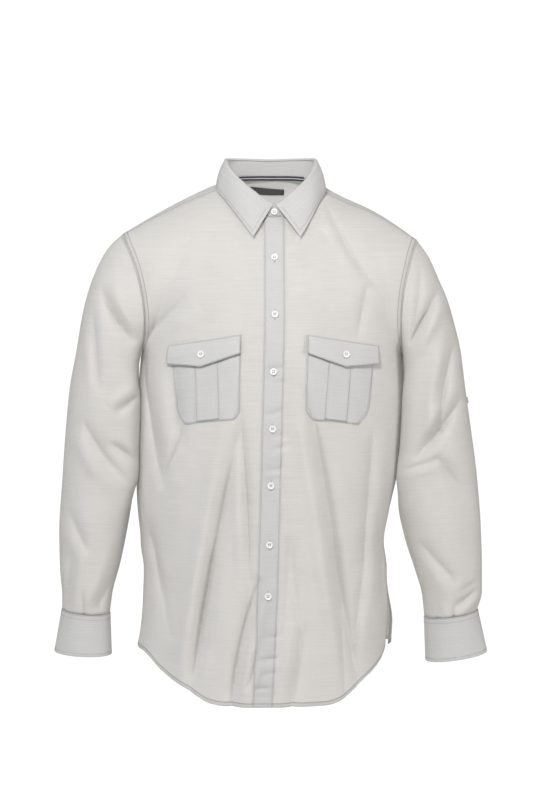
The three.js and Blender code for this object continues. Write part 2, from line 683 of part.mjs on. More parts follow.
// A closed body's geometry with its faces pointing out
function closedGeometry(position, index) {
  const corner = (i) => new THREE.Vector3().fromArray(position, index[i] * 3);
  let volume = 0;
  for (let i = 0; i < index.length; i += 3) volume += corner(i).dot(corner(i + 1).cross(corner(i + 2)));
  const outward = [...index];
  if (volume < 0) outward.reverse();
  const geometry = new THREE.BufferGeometry();
  geometry.setAttribute('position', new THREE.Float32BufferAttribute(position, 3));
  geometry.setIndex(outward);
  return geometry;
}

// Rows of points and outward directions over a surface
function grid(surface, us, vs, sign, stepU, stepV) {
  return vs.map((v) => us.map((u) => {
    const normal = normalAt(surface, u, v, sign, stepU, stepV);
    return { point: surface(u, v), normal };
  }));
}

const shirt = new THREE.Group();

function addPiece(name, geometry, material) {
  const mesh = new THREE.Mesh(geometry, material);
  mesh.name = name;
  shirt.add(mesh);
}

// Even steps from one value to another, both ends included
const steps = (from, to, count) => Array.from({ length: count + 1 }, (_, i) => mix(from, to, i / count));

// The rows of each panel, with the armhole rows shared by the sleeves
const HALF_SEAM = SEAM / 2;
const FRONT_ROWS = [
  ...steps(0, 490, 13),
  ...steps(ROW.underarm, ROW.neckPit, 6),
  ...steps(ROW.neckPit, ROW.frontYoke, 5).slice(1),
];
const YOKE_ROWS = [
  ROW.frontYoke,
  ...steps(ROW.shoulder, ROW.nape, 6),
  ...steps(ROW.nape, ROW.backYoke, 3).slice(1),
];
const BACK_ROWS = [
  ...steps(ROW.backYoke, ROW.backUnderarm, 6),
  ...steps(ROW.backUnderarm + 40, ROW.backHem, 11),
];
const SIDE_SHARE = 1 - HALF_SEAM / 250;
const FRONT_COLUMNS = 15;
const BACK_COLUMNS = 12;
const YOKE_COLUMNS = 11;

const inset = (rows, startGap, endGap) => rows.map((row, i) => {
  if (i === 0) return row + startGap;
  return i === rows.length - 1 ? row - endGap : row;
});

// A panel's half: columns run from an inner distance to the side
function panelRows(side, rows, columns, innerDistance) {
  const surface = (across, row) => body(across, row, side);
  return rows.map((row) => {
    const start = acrossAt(innerDistance, row);
    return steps(start, SIDE_SHARE, columns).map((across) => ({
      point: surface(across, row),
      normal: normalAt(surface, across, row, side),
    }));
  });
}

function makeFront(name, side) {
  const rows = inset(FRONT_ROWS, 0, HALF_SEAM);
  const sheet = new Sheet().patch(panelRows(side, rows, FRONT_COLUMNS, FRONT_EDGE));
  addPiece(name, sheet.solid(0, WALL), CLOTH);
}

// The yoke and the back are cut whole: two halves joined down the middle
function makeWhole(name, rows, columns, startGap, endGap, material) {
  const sheet = new Sheet();
  const inner = inset(rows, startGap, endGap);
  sheet.patch(panelRows(1, inner, columns, 0));
  sheet.patch(panelRows(-1, inner, columns, 0), true);
  addPiece(name, sheet.solid(0, WALL), material);
}

// The strips down the front: columns at set distances from the middle line
function makeStrip(name, distances, lift) {
  const surface = (distance, row) => bodyAt(distance, row, 1);
  const neckRow = (distance) => {
    const theta = 180 - Math.asin(Math.abs(distance) / NECK.halfWidth) / DEGREE;
    return ROW.nape - ((ROW.nape - ROW.neckPit) * theta) / 180;
  };
  const rows = steps(0, 1, 24).map((share) => distances.map((distance) => {
    const row = share * (neckRow(distance) - HALF_SEAM);
    return { point: surface(distance, row), normal: normalAt(surface, distance, row, 1, 1, 0.5) };
  }));
  addPiece(name, new Sheet().patch(rows).solid(lift, lift + WALL), DOUBLE_CLOTH);
}

// Sleeves share the armhole's angles with the panels
const ARMHOLE_ANGLES = [...FRONT_ROWS, ...YOKE_ROWS.slice(1), ...BACK_ROWS.slice(1)]
  .filter((row) => row >= ROW.underarm && row < ROW.backUnderarm - 1)
  .map((row) => read(ARMHOLE_ROWS, 'row', 'beta', row));
const SLEEVE_RINGS = [0, 0.5, 1, 1.6, 2.3, 3, 3.8, 4.6, 5.4, 6.2, 7, 7.8, 8.6, 9.3, 10, 10.7, 11.4, 12];

function makeSleeve(name, table, side) {
  const surface = (beta, ring) => sleeve(table, ring, beta, side);
  const angles = [...ARMHOLE_ANGLES, ARMHOLE_ANGLES[0] + 360];
  const rows = grid(surface, angles, SLEEVE_RINGS, -side, 0.5, 0.02);
  addPiece(name, new Sheet().patch(rows).solid(0, WALL), CLOTH);
}

const PLACKET_SLIT = { from: 226, to: 242, top: 9.4, bottom: 11.9, lift: 2.6 };

function makeSleevePlacket(name, table, side) {
  const surface = (beta, ring) => sleeve(table, ring, beta, side);
  const { from, to, top, bottom, lift } = PLACKET_SLIT;
  const angles = steps(from, to, 2);
  const rings = steps(top, bottom, 5);
  const rows = grid(surface, angles, rings, -side, 0.5, 0.02);
  addPiece(name, new Sheet().patch(rows).solid(lift, lift + LAYER_WALL), DOUBLE_CLOTH);
}

function makeCuff(name, table, side) {
  const surface = (turn, down) => cuff(table, down, turn, side);
  const turns = [...steps(0, 360 - CUFF_LAP.rise, 20), 360, 360 + CUFF_LAP.ahead];
  const rows = grid(surface, turns, steps(0, 1, 2), -side, 0.5, 0.01);
  addPiece(name, new Sheet().patch(rows).solid(0, CUFF_WALL), DOUBLE_CLOTH);
}

function makeStand() {
  const lapped = 180 + STAND_LAP.past;
  const angles = [-lapped, -180, ...steps(-168, 168, 24), 180, lapped];
  const rows = grid(stand, angles, steps(0, 1, 2), -1, 0.5, 0.01);
  addPiece('collar_stand', new Sheet().patch(rows).solid(0, STAND.wall), DOUBLE_CLOTH);
}

function makeLeaf() {
  const sheet = new Sheet();
  const downs = [0, 0.04, 0.08, ROLL_SHARE, 0.3, 0.5, 0.75, 1];
  const angles = [...steps(0, 165, 12), LEAF.endTheta];
  for (const side of [1, -1]) {
    const surface = (theta, down) => leaf(Math.abs(theta), clamp(down, 0, 1), theta < 0 ? -side : side);
    const rows = grid(surface, angles, downs, side, 0.5, 0.01);
    sheet.patch(rows, side < 0);
  }
  addPiece('collar_leaf', sheet.solid(0, LEAF.wall), DOUBLE_CLOTH);
}

// The tape over the back neck seam, inside, half on the stand and half on the yoke
const TAPE = { theta: 48, half: 3.4, inner: -2, outer: -1 };

function makeTape() {
  const surface = (theta, height) => {
    const bottom = neckPoint(Math.abs(theta));
    const top = stand(theta, 1);
    const foot = new THREE.Vector3(Math.sign(theta) * bottom.x + bottom.lean, bottom.y, bottom.z);
    const rise = top.sub(foot).normalize();
    return foot.addScaledVector(rise, height);
  };
  const rows = grid(surface, steps(-TAPE.theta, TAPE.theta, 12), [-TAPE.half, TAPE.half], -1, 0.5, 0.5);
  addPiece('neck_tape', new Sheet().patch(rows).solid(TAPE.inner, TAPE.outer), TAPE_NAVY);
}

// The bare label inside the back yoke
const LABEL = { left: -31.4, right: 23, top: 975, bottom: 989, inner: -1.7, outer: -0.7 };

function makeLabel() {
  const surface = (distance, row) => bodyAt(distance, row, 1);
  const columns = steps(LABEL.left, LABEL.right, 4);
  const rows = grid(surface, columns, steps(LABEL.top, LABEL.bottom, 2), 1, 1, 0.5);
  addPiece('label', new Sheet().patch(rows).solid(LABEL.inner, LABEL.outer), LABEL_GREY);
}

// A piece laid on a front, from its inner to its outer edge and from top to bottom
function layOnFront(name, side, place, columns, rows, lift, material) {
  const surface = (u, v) => {
    const { distance, z, raised } = place(u, v);
    const flat = (d, h) => frontAt(d, h, side);
    const normal = normalAt(flat, distance, z, side, 1, 1);
    return flat(distance, z).addScaledVector(normal, raised);
  };
  const points = grid(surface, columns, rows, -side, 0.02, 0.02);
  addPiece(name, new Sheet().patch(points).solid(lift, lift + LAYER_WALL), material);
}

function makePocket(name, table, side, columns, rows, lift) {
  const last = table.length - 1;
  const place = (u, v) => {
    const column = (key) => read(table, 'row', key, v * last);
    return {
      distance: mix(column('innerX'), column('outerX'), u),
      z: mix(column('innerZ'), column('outerZ'), u),
      raised: 0,
    };
  };
  layOnFront(name, side, place, columns, rows, lift, DOUBLE_CLOTH);
}

function makeFlap(name, side) {
  const place = (u, v) => {
    const top = mix(FLAP.topInner, FLAP.topOuter, u);
    const corner = u < FLAP_BOTTOM[1].across ? 0 : 1;
    const from = FLAP_BOTTOM[corner];
    const to = FLAP_BOTTOM[corner + 1];
    const bottom = mix(from.z, to.z, (u - from.across) / (to.across - from.across));
    return {
      distance: mix(FLAP.innerX, FLAP.outerX, u),
      z: mix(top, bottom, v),
      raised: read(FLAP_LIFT, 'down', 'lift', v),
    };
  };
  const columns = [0, 0.18, 0.36, 0.53, 0.7, 0.85, 1];
  layOnFront(name, side, place, columns, [0, 0.25, 0.6, 1], 0, DOUBLE_CLOTH);
}

// A button: a round disc with a raised rim, its back on the origin, facing +Y
function buttonGeometry() {
  const { radius, thick, rim, dish, sides } = BUTTON;
  const profile = [
    [0, 0],
    [radius * 0.8, 0],
    [radius, thick * 0.45],
    [radius - rim * 0.5, thick],
    [radius - rim * 1.6, thick],
    [radius * 0.5, thick - dish],
    [0, thick - dish],
  ].map(([x, y]) => new THREE.Vector2(x, y));
  const lathe = new THREE.LatheGeometry(profile, sides);
  return weld(lathe);
}

// Joins a geometry's coinciding points and drops the flat triangles on its axis
function weld(geometry) {
  const source = geometry.getAttribute('position');
  const known = new Map();
  const position = [];
  const order = [];
  for (let i = 0; i < source.count; i += 1) {
    const point = [source.getX(i), source.getY(i), source.getZ(i)];
    const key = point.map((value) => Math.round(value * 1e4)).join(' ');
    if (!known.has(key)) {
      known.set(key, position.length / 3);
      position.push(...point);
    }
    order.push(known.get(key));
  }
  const index = [];
  const old = geometry.getIndex();
  for (let i = 0; i < old.count; i += 3) {
    const [a, b, c] = [0, 1, 2].map((k) => order[old.getX(i + k)]);
    if (a !== b && b !== c && a !== c) index.push(a, b, c);
  }
  return closedGeometry(position, index);
}

function addButton(name, point, normal, lift) {
  const mesh = new THREE.Mesh(buttonGeometry(), BUTTON_WHITE);
  mesh.name = name;
  mesh.position.copy(point).addScaledVector(normal, lift + SEAM);
  mesh.quaternion.setFromUnitVectors(new THREE.Vector3(0, 1, 0), normal);
  shirt.add(mesh);
}

function makeFrontButtons() {
  const strip = (distance, row) => bodyAt(distance, row, 1);
  FRONT_BUTTON_Z.forEach((z, i) => {
    if (z > PIT_Z) {
      const normal = normalAt(stand, 180, 0.42, -1, 0.5, 0.01);
      addButton(`button_${i + 1}`, stand(180, 0.42), normal, STAND.wall);
      return;
    }
    const row = z - HEM_Z;
    const normal = normalAt(strip, 0, row, 1, 1, 0.5);
    addButton(`button_${i + 1}`, strip(0, row), normal, COVER_LIFT + WALL);
  });
}

function makeOtherButtons(label, side, sleeveTable, cuffTable) {
  const flat = (distance, z) => frontAt(distance, z, side);
  const flapNormal = normalAt(flat, FLAP_BUTTON.x, FLAP_BUTTON.z, side, 1, 1);
  const flapPoint = flat(FLAP_BUTTON.x, FLAP_BUTTON.z);
  addButton(`button_flap_${label}`, flapPoint, flapNormal, FLAP_BUTTON.lift);

  const round = (turn, down) => cuff(cuffTable, down, turn, side);
  const cuffTurn = 360 + CUFF_LAP.ahead / 2;
  const cuffNormal = normalAt(round, cuffTurn, 0.5, -side, 0.5, 0.01);
  addButton(`button_cuff_${label}`, round(cuffTurn, 0.5), cuffNormal, CUFF_WALL);

  const arm = (beta, ring) => sleeve(sleeveTable, ring, beta, side);
  const tabBeta = TAB_BUTTON[label];
  const tabNormal = normalAt(arm, tabBeta, TAB_BUTTON.ring, -side, 0.5, 0.02);
  addButton(`button_tab_${label}`, arm(tabBeta, TAB_BUTTON.ring), tabNormal, WALL);
}

makeFront('front_left', 1);
makeFront('front_right', -1);
makeStrip('placket', [-PLACKET_HALF, 0, PLACKET_HALF], COVER_LIFT);
makeStrip('button_stand', [-PLACKET_HALF, 0, BUTTON_STAND_END], UNDER_LIFT);
makeWhole('yoke', YOKE_ROWS, YOKE_COLUMNS, HALF_SEAM, HALF_SEAM, DOUBLE_CLOTH);
makeWhole('back', BACK_ROWS, BACK_COLUMNS, HALF_SEAM, 0, CLOTH);
makeStand();
makeLeaf();
makeTape();
makeLabel();
for (const [label, side, sleeveTable, cuffTable] of [
  ['left', 1, SLEEVE_LEFT, CUFF_LEFT],
  ['right', -1, SLEEVE_RIGHT, CUFF_RIGHT],
]) {
  makeSleeve(`sleeve_${label}`, sleeveTable, side);
  makeSleevePlacket(`sleeve_placket_${label}`, sleeveTable, side);
  makeCuff(`cuff_${label}`, cuffTable, side);
  const third = [0, 1 / 3, 2 / 3, 1];
  makePocket(`pocket_${label}`, POCKET, side, steps(0, 1, 6), [0, 1 / 3, 0.5, 2 / 3, 1], POCKET_LIFT);
  makePocket(`pocket_pleat_${label}`, PLEAT, side, [0, 0.5, 1], third, PLEAT_LIFT);
  makeFlap(`flap_${label}`, side);
  makeOtherButtons(label, side, sleeveTable, cuffTable);
}
makeFrontButtons();

export default shirt;
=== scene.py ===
# The looks of a long-sleeved button-down shirt, filled out as if worn: thin cloth shells on the
# frame's solids, with their folds, sewing, buttons and weave. Sizes are in millimetres, and the
# meshes are made in metres.
import math
from collections import namedtuple
import bpy
import bmesh
import numpy as np
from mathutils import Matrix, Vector


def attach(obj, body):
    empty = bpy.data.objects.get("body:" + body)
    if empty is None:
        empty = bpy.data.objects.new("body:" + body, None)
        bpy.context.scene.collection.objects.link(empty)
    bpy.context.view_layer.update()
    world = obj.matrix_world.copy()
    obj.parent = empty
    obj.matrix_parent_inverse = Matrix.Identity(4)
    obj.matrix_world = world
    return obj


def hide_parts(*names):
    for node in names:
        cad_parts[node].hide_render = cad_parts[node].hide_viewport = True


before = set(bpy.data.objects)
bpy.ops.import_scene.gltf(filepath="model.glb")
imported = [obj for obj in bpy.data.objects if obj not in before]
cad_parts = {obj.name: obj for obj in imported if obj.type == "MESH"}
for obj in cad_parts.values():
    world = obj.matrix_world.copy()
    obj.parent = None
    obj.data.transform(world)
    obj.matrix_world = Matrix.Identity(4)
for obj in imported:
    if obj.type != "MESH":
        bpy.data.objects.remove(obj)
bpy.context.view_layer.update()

MM = 0.001

# Walls and seams, as heights over the inner face of the solids
CLOTH = (0.7, 1.2)
DOUBLE = (0.3, 1.25)
SEAM = 0.3
HALF_SEAM = SEAM / 2
FELL = 0.3                 # how much thicker the cloth is where it is turned in at a seam
WALLS = {
    "placket": (1.4, 2.3), "button_stand": (-0.6, 0.3), "sleeve_placket": (1.6, 2.7),
    "cuff": (0.2, 1.9), "collar_stand": (0.2, 1.5), "collar_leaf": (0.1, 1.4),
    "neck_tape": (-1.9, -1.1), "label": (-1.6, -0.8), "pocket": (1.5, 2.35),
    "pocket_pleat": (2.6, 3.5), "flap": (0, 1.1)}
GRAIN = 2.5                # the usual distance between two points of a sheet, across it
GRAIN_DOWN = 4.3           # and down it

# Rows along the middle of the body, counted from the front hem over the shoulder to the back hem
HEM_Z = -806
PIT_Z = -63
ROW_UNDERARM = 530
ROW_PIT = 743
ROW_FRONT_YOKE = 850
ROW_SHOULDER = 865
ROW_NAPE = 963
ROW_BACK_YOKE = 1061
ROW_BACK_UNDERARM = 1239
ROW_BACK_HEM = 1769

# The neck seam and the armholes: their half widths, middles, depths and leans, and the tail's rise
NECK_HALF, NECK_Y, NECK_DEEP, NECK_POWER = 74, -66, 66, 1.9
ARMHOLE_X, ARMHOLE_Y, ARMHOLE_Z = 215.5, -87, -185.5
ARMHOLE_TILT, ARMHOLE_TALL, SHOULDER_TILT = 12.5, 92.5, 4.5
FRONT_DEEP, FRONT_HOLLOW = 66, 16.5
BACK_DEEP, BACK_HOLLOW = 64, 7.5
TAIL_FROM, TAIL_TO, TAIL_FADES = 0.2, 0.8, 300
PLACKET_HALF = 15.3


def mix(a, b, t):
    return a + (b - a) * t


def smoothstep(low, high, value):
    t = np.clip((value - low) / (high - low), 0, 1)
    return t * t * (3 - 2 * t)


def bell(x, wide):
    return np.exp(-((x / wide) ** 2))


def alike(*values):
    """Values as arrays of floats of one shape."""
    return np.broadcast_arrays(*[np.asarray(value, float) for value in values])


def joined(*parts):
    """Points from their coordinates, which are brought to one shape."""
    return np.stack(np.broadcast_arrays(*parts), axis=-1)


class Table:
    """Rows of named columns; a column is read by a smooth curve along the first one."""

    def __init__(self, names, *rows):
        data = np.array(sorted(rows), float)
        self.key = data[:, 0]
        self.columns = dict(zip(names.split()[1:], data[:, 1:].T))

    def __call__(self, column, at):
        x, y = self.key, self.columns[column]
        at = np.clip(np.asarray(at, float), x[0], x[-1])
        step = np.diff(x)
        slope = np.diff(y) / step
        before, after = slope[:-1], slope[1:]
        same = before * after > 0
        inner = np.where(same, 2 * before * after / np.where(same, before + after, 1), 0)
        tangent = np.concatenate([slope[:1], inner, slope[-1:]])
        i = np.clip(np.searchsorted(x, at) - 1, 0, len(x) - 2)
        t = (at - x[i]) / step[i]
        t2, t3 = t * t, t * t * t
        start, end = tangent[i] * step[i], tangent[i + 1] * step[i]
        return (y[i] * (2 * t3 - 3 * t2 + 1) + start * (t3 - 2 * t2 + t)
                + y[i + 1] * (3 * t2 - 2 * t3) + end * (t3 - t2))


FRONT_LINE = Table(
    "z y lean",
    (-806, -230, -11), (-635, -227, -2.9), (-557, -225, -0.5), (-467, -223, 1.8),
    (-380, -221, 3.8), (-295, -217, 5.9), (-208, -204, 7.7), (-165, -191, 7.6),
    (-126, -174, 7.4), (-90, -152, 7), (-63, -132, 7))
PIT_LEAN = 7
BACK_LINE = Table(
    "z y",
    (-806, 52), (-706, 47), (-556, 44), (-406, 47), (-276, 53), (-206, 52),
    (-150, 47), (-98, 38), (-60, 27), (-30, 14), (0, 0))
SIDE_ROWS = Table("row z", (0, -735), (318, -461), (530, -278), (570, -278))
SIDE_LINE = Table(
    "z half lean y",
    (-735, 194, -13, -92), (-700, 192.5, -9, -92), (-660, 191.5, -7, -92), (-612, 190, -7, -92),
    (-569, 190, -12, -92), (-516, 196.5, -10, -92), (-455, 203.5, -4, -92), (-331, 206, 2, -90),
    (-278, 203, 3, -87))
ARMHOLE_ROWS = Table(
    "row beta",
    (490, 0), (530, 0), (640, 60), (743, 114), (835, 153), (865, 180), (963, 202),
    (1061, 226), (1150, 292), (1239, 360), (1280, 360))
ARMHOLE_LEAN = Table("beta lean", (0, 3), (60, 5), (114, 3), (153, 0), (226, 0), (292, 2), (360, 3))
FULLNESS = Table(
    "row in_x out_x in_y out_y level",
    (0, 0.6, 1, 0, -83, 1), (300, 0.6, 1, 0, -80, 1), (530, 0.6, 1, 0, -77, 1),
    (640, 0.6, 0.82, -4, -22, 1.15), (743, 0.4, 0.8, -12, -11, 1.2), (835, 0.34, 0.7, -16, 4, 1.2),
    (865, 0.34, 0.7, -10, 9, 1.2), (963, 0.34, 0.7, 2, 32, 1.3), (1061, 0.5, 0.85, 6, 40, 1.3),
    (1150, 0.6, 0.9, 4, 32, 1.1), (1239, 0.6, 1, 0, 84, 1), (1769, 0.6, 1, 0, 84, 1))

# How far the front hem has risen on its way out from the middle, on each side
HEM_RISE = {
    1: Table(
        "out rise",
        (0, 0), (0.32, 0), (0.4, 0.07), (0.5, 0.28), (0.6, 0.5), (0.7, 0.66), (0.8, 0.82),
        (0.9, 0.95), (1, 1)),
    -1: Table(
        "out rise",
        (0, 0), (0.17, 0.01), (0.25, 0.06), (0.32, 0.19), (0.4, 0.36), (0.5, 0.54), (0.6, 0.73),
        (0.7, 0.92), (0.8, 1), (1, 1)),
}

SLEEVE_DEPTH = Table(
    "ring mid_y front back",
    (0, -87, 66, 64), (2, -90, 68, 66), (5, -93, 68, 66), (7, -98, 64, 62),
    (9, -106, 57, 55), (11, -113, 49, 47), (12, -115, 45, 44))
SLEEVES = {
    1: Table(
        "ring out_x out_z in_x in_z",
        (0, 228, -93, 203, -278), (1, 246, -119, 209.5, -292), (2, 264, -160, 213, -312),
        (3, 277, -192, 213.5, -335), (4, 287.5, -228, 213.5, -362), (5, 297, -268, 212.5, -390),
        (6, 305.5, -332, 210.5, -422), (7, 314.5, -395, 206.5, -462), (8, 323.5, -464, 203, -508),
        (9, 330, -545, 212, -558), (10, 332, -607, 229, -612), (11, 332, -645, 240, -650),
        (12, 325, -673, 244, -685)),
    -1: Table(
        "ring out_x out_z in_x in_z",
        (0, 228, -93, 203, -278), (1, 252, -115, 209, -292), (2, 270.5, -147, 210.5, -310),
        (3, 284, -183, 210.5, -333), (4, 293.5, -224, 211, -360), (5, 301, -269, 212, -388),
        (6, 311.5, -326, 213, -420), (7, 319.5, -407, 214.5, -462), (8, 324, -472, 218, -507),
        (9, 329, -550, 226, -556), (10, 328, -607, 236, -603), (11, 324.5, -650, 248, -648),
        (12, 324.5, -672, 252, -679)),
}
CUFFS = {
    1: Table(
        "ring out_x out_z in_x in_z mid_y deep",
        (0, 325, -674.2, 244, -686.2, -115, 44.5), (1, 340, -740.5, 246.5, -755, -118, 39)),
    -1: Table(
        "ring out_x out_z in_x in_z mid_y deep",
        (0, 324.5, -673.2, 252, -680.2, -115, 44.5), (1, 336.5, -740, 250, -745, -118, 39)),
}
# How far each sleeve is filled out towards the body, in front of the side seam and behind it
NEAR_BODY = {
    1: Table(
        "ring front back",
        (0, 0, 0), (1, 4, 3), (2, 8, 7), (3, 12, 10), (4, 15, 13), (5, 16, 14), (6, 17, 14), (7, 19, 9),
        (8, 8, 2), (9, 0, 0), (12, 0, 0)),
    -1: Table(
        "ring front back",
        (0, 0, 0), (1, 4, 3), (2, 9, 7), (3, 14, 10), (4, 18, 13), (5, 19, 14), (6, 20, 14), (7, 21, 9),
        (8, 8, 2), (9, 0, 0), (12, 0, 0)),
}
CUFF_AT, CUFF_AHEAD, CUFF_LIFT, CUFF_RISE = 236, 16, 2.4, 10

FOLD_LINE = Table(
    "theta z",
    (0, 30.5), (45, 31.5), (75, 31), (90, 28), (110, 16), (130, 0), (153, -20), (180, -41),
    (207, -20))
STAND_HALF, STAND_Y, STAND_DEEP = 69, -64, 60
STAND_WALL, STAND_LIFT, STAND_BELOW = 1.6, 2, 4
LEAF_ROLL, LEAF_END, LEAF_PUFF, LEAF_SLOPE_GAP = 1.9, 178.2, 2, 1
ROLL_SHARE = 0.12
POINT_LEAN = 10.7
LEAF_EDGE = Table(
    "theta x y z",
    (0, 0, 12.5, -16), (25, 37, 8, -13), (50, 69, -10, -4.5), (75, 83, -45, -9),
    (95, 84.5, -76, -17.5), (116, 72, -106, -37), (137, 60, -128, -55.5), (157, 48, -145, -74),
    (178.2, 36, -160, -92))

# The folds seen from the front. Each is a trough from one end to the other, with a ridge beside
# it: how far its middle bows sideways, how wide and deep it is, and on which side the ridge stands.
Fold = namedtuple("Fold", "x0 z0 x1 z1 bow wide deep ridge")
FRONT_FOLDS = [
    (-46, -340, -31, -640, 5, 8, 6, 1), (-44, -370, -118, -770, -3, 12, 10, 1),
    (-84, -560, -124, -810, 0, 11, 6, 1), (-14, -605, -60, -830, -9, 10, 9, -1),
    (-195, -262, -162, -480, -5, 10, 9, -1), (-148, -275, -130, -420, 0, 10, 5, 1),
    (-130, -385, -170, -482, 0, 9, 5, 0), (-192, -520, -150, -720, 2, 16, 6, 0),
    (-184, -545, -170, -645, 2, 7, 3, -1), (56, -322, 112, -665, 5, 12, 10, 1),
    (92, -540, 140, -805, 0, 12, 9, 1), (106, -640, 118, -830, 0, 9, 4, 0),
    (158, -380, 143, -605, 0, 10, 6, -1), (147, -575, 126, -745, 0, 8, 4, -1),
    (26, -540, 48, -725, 2, 10, 3, 0), (51, -680, 30, -830, 0, 9, 5, 1),
    (30, -545, 22, -700, 0, 10, 3, 0), (166, -505, 177, -690, 2, 8, 4, 1),
    (86, -34, 188, -208, -9, 7, 4, 1), (-112, -80, -190, -262, -3, 18, 4, 1),
    (-128, -178, -204, -258, 3, 14, 5, -1), (149, -160, 132, -250, 0, 10, 4, 0),
    (-260, -165, -210, -257, -5, 9, 9, -1), (-273, -198, -262, -332, 0, 8, 5, 1),
    (-238, -364, -198, -332, 0, 8, 7, -1), (-288, -372, -214, -474, -7, 12, 7, 1),
    (-248, -406, -202, -441, 0, 8, 6, -1), (-312, -512, -280, -582, 0, 12, 5, 1),
    (-229, -558, -277, -676, 9, 9, 8, 1), (-306, -568, -319, -674, 0, 8, 4, -1),
    (-290, -638, -288, -690, 0, 5, 3, 0), (-264, -648, -266, -690, 0, 5, 3, 0),
    (264, -170, 213, -258, -2, 9, 11, -1), (233, -126, 217, -236, 2, 7, 4, 0),
    (292, -238, 263, -402, -8, 10, 8, 1), (304, -330, 221, -437, 3, 11, 9, 1),
    (254, -426, 313, -503, 0, 14, 7, -1), (205, -453, 264, -431, 0, 6, 4, 1),
    (284, -666, 328, -634, 0, 7, 7, 1), (290, -642, 331, -621, 0, 6, 4, 0),
    (230, -560, 292, -630, 0, 10, 5, 1), (262, -655, 260, -700, 0, 5, 3, 0),
    (284, -662, 286, -700, 0, 5, 3, 0), (-12, -291, 26, -288, 0, 4.5, 1.6, 0),
    (0, -312, 34, -309, 0, 4, 1.2, 0), (-8, -362, 20, -352, 0, 5, 1.6, 0),
    (4, -392, 30, -388, 0, 4, 1.3, 0), (0, -414, 36, -402, 0, 5, 1.6, 1),
    (-12, -444, 30, -440, 0, 5, 1.4, 0), (-10, -460, 18, -455, 0, 4, 1.3, 0),
    (-16, -700, 20, -697, 0, 5, 1.4, 0), (-20, -734, 14, -730, 0, 5, 2.2, 0),
    (-18, -758, 16, -752, 0, 5, 1.6, 0), (-30, -778, 4, -776, 0, 4, 2.4, 0),
    (-20, -789, 8, -788, 0, 4, 1.2, 0), (-22, -718, -37, -782, 3, 5, 4, -1),
]
BACK_FOLDS = [
    (-70, -130, -88, -420, 4, 15, 4, 1), (74, -130, 92, -440, -4, 15, 4, -1),
    (-20, -430, -46, -830, 6, 15, 8, 1), (34, -400, 52, -830, -6, 16, 8, -1),
    (-92, -520, -112, -830, 5, 14, 7, 0), (106, -480, 118, -830, -5, 14, 7, 0),
    (-186, -290, -150, -470, 6, 12, 6, 1), (188, -290, 150, -480, -6, 12, 6, -1),
    (-178, -520, -160, -720, 0, 11, 5, 1), (172, -540, 160, -740, 0, 10, 5, -1),
    (-128, -110, -184, -250, 4, 12, 4, 1), (132, -104, 180, -236, -6, 11, 5, -1),
    (4, -330, -8, -560, 0, 9, 3, 0), (-262, -190, -206, -300, 8, 12, 8, 1),
    (262, -190, 208, -296, -8, 12, 8, -1), (-282, -250, -268, -370, 0, 9, 5, 1),
    (286, -240, 266, -380, 0, 9, 5, -1), (-300, -420, -228, -500, 8, 13, 7, 1),
    (302, -410, 226, -495, -8, 13, 7, -1), (-316, -600, -270, -668, 0, 10, 5, 0),
    (318, -596, 268, -668, 0, 10, 5, 0), (-292, -636, -288, -690, 0, 6, 4, 0),
    (286, -640, 284, -700, 0, 6, 4, 0),
]
RIDGE_SHARE, RIDGE_AT = 0.4, 1.9
FOLD_GAIN = 1.5
CREASE_SHARE, CREASE_WIDE = 0.36, 0.36
FADE_SIDE, FADE_SHOULDER = 0.86, 40


def fold_depth(folds, x, z):
    """How far the folds press the cloth inwards at a place seen from the front."""
    total = np.zeros(np.broadcast(x, z).shape)
    for x0, z0, x1, z1, bow, wide, deep, ridge in map(Fold._make, folds):
        dx, dz = x1 - x0, z1 - z0
        length = math.hypot(dx, dz)
        along = np.clip(((x - x0) * dx + (z - z0) * dz) / length ** 2, 0, 1)
        across = ((x - x0) * dz - (z - z0) * dx) / length + bow * 4 * along * (1 - along)
        profile = mix(bell(across, wide), bell(across, CREASE_WIDE * wide), CREASE_SHARE)
        if ridge:
            profile = profile - RIDGE_SHARE * bell(across - ridge * RIDGE_AT * wide, wide)
        total += FOLD_GAIN * deep * np.sin(np.pi * along) ** 0.7 * profile
    return total


# The left shoulder sinks a little by the neck, and the back swings out at the left of its hem
DIP_DEEP, DIP_X, DIP_WIDE, DIP_LONG = 7, 112, 36, 55
FLARE, FLARE_OUT, FLARE_WIDE, FLARE_FROM, FLARE_TO = 14, 0.88, 0.12, 1640, 1735

# Slow waves that no stretch of cloth is without, as a sum of long sine waves in the cloth's plane
WAVES = np.random.default_rng(11)
WAVE_COUNT = 26
WAVE_LENGTHS = 10 ** WAVES.uniform(math.log10(26), math.log10(120), WAVE_COUNT)
WAVE_HEADINGS = WAVES.normal(0.15, 0.55, WAVE_COUNT)
WAVE_PHASES = WAVES.uniform(0, 2 * math.pi, WAVE_COUNT)


def waves(x, z, shift=0.0):
    """Uneven waves of about 1 mm, mostly running down the cloth."""
    total = np.zeros(np.broadcast(x, z).shape)
    for length, heading, phase in zip(WAVE_LENGTHS, WAVE_HEADINGS, WAVE_PHASES):
        run = x * math.cos(heading) + z * math.sin(heading) * 0.55
        total += (length / 60) * np.sin(2 * np.pi * run / length + phase + shift * length)
    return total / math.sqrt(WAVE_COUNT) * 0.55


def neck_point(theta):
    """The neck seam at theta degrees from the centre back, with x signed."""
    angle = np.radians(theta)
    front = (1 - np.cos(angle)) / 2
    x = NECK_HALF * np.sin(angle)
    return x, NECK_Y + NECK_DEEP * np.cos(angle), PIT_Z * front ** NECK_POWER, PIT_LEAN * front ** 2


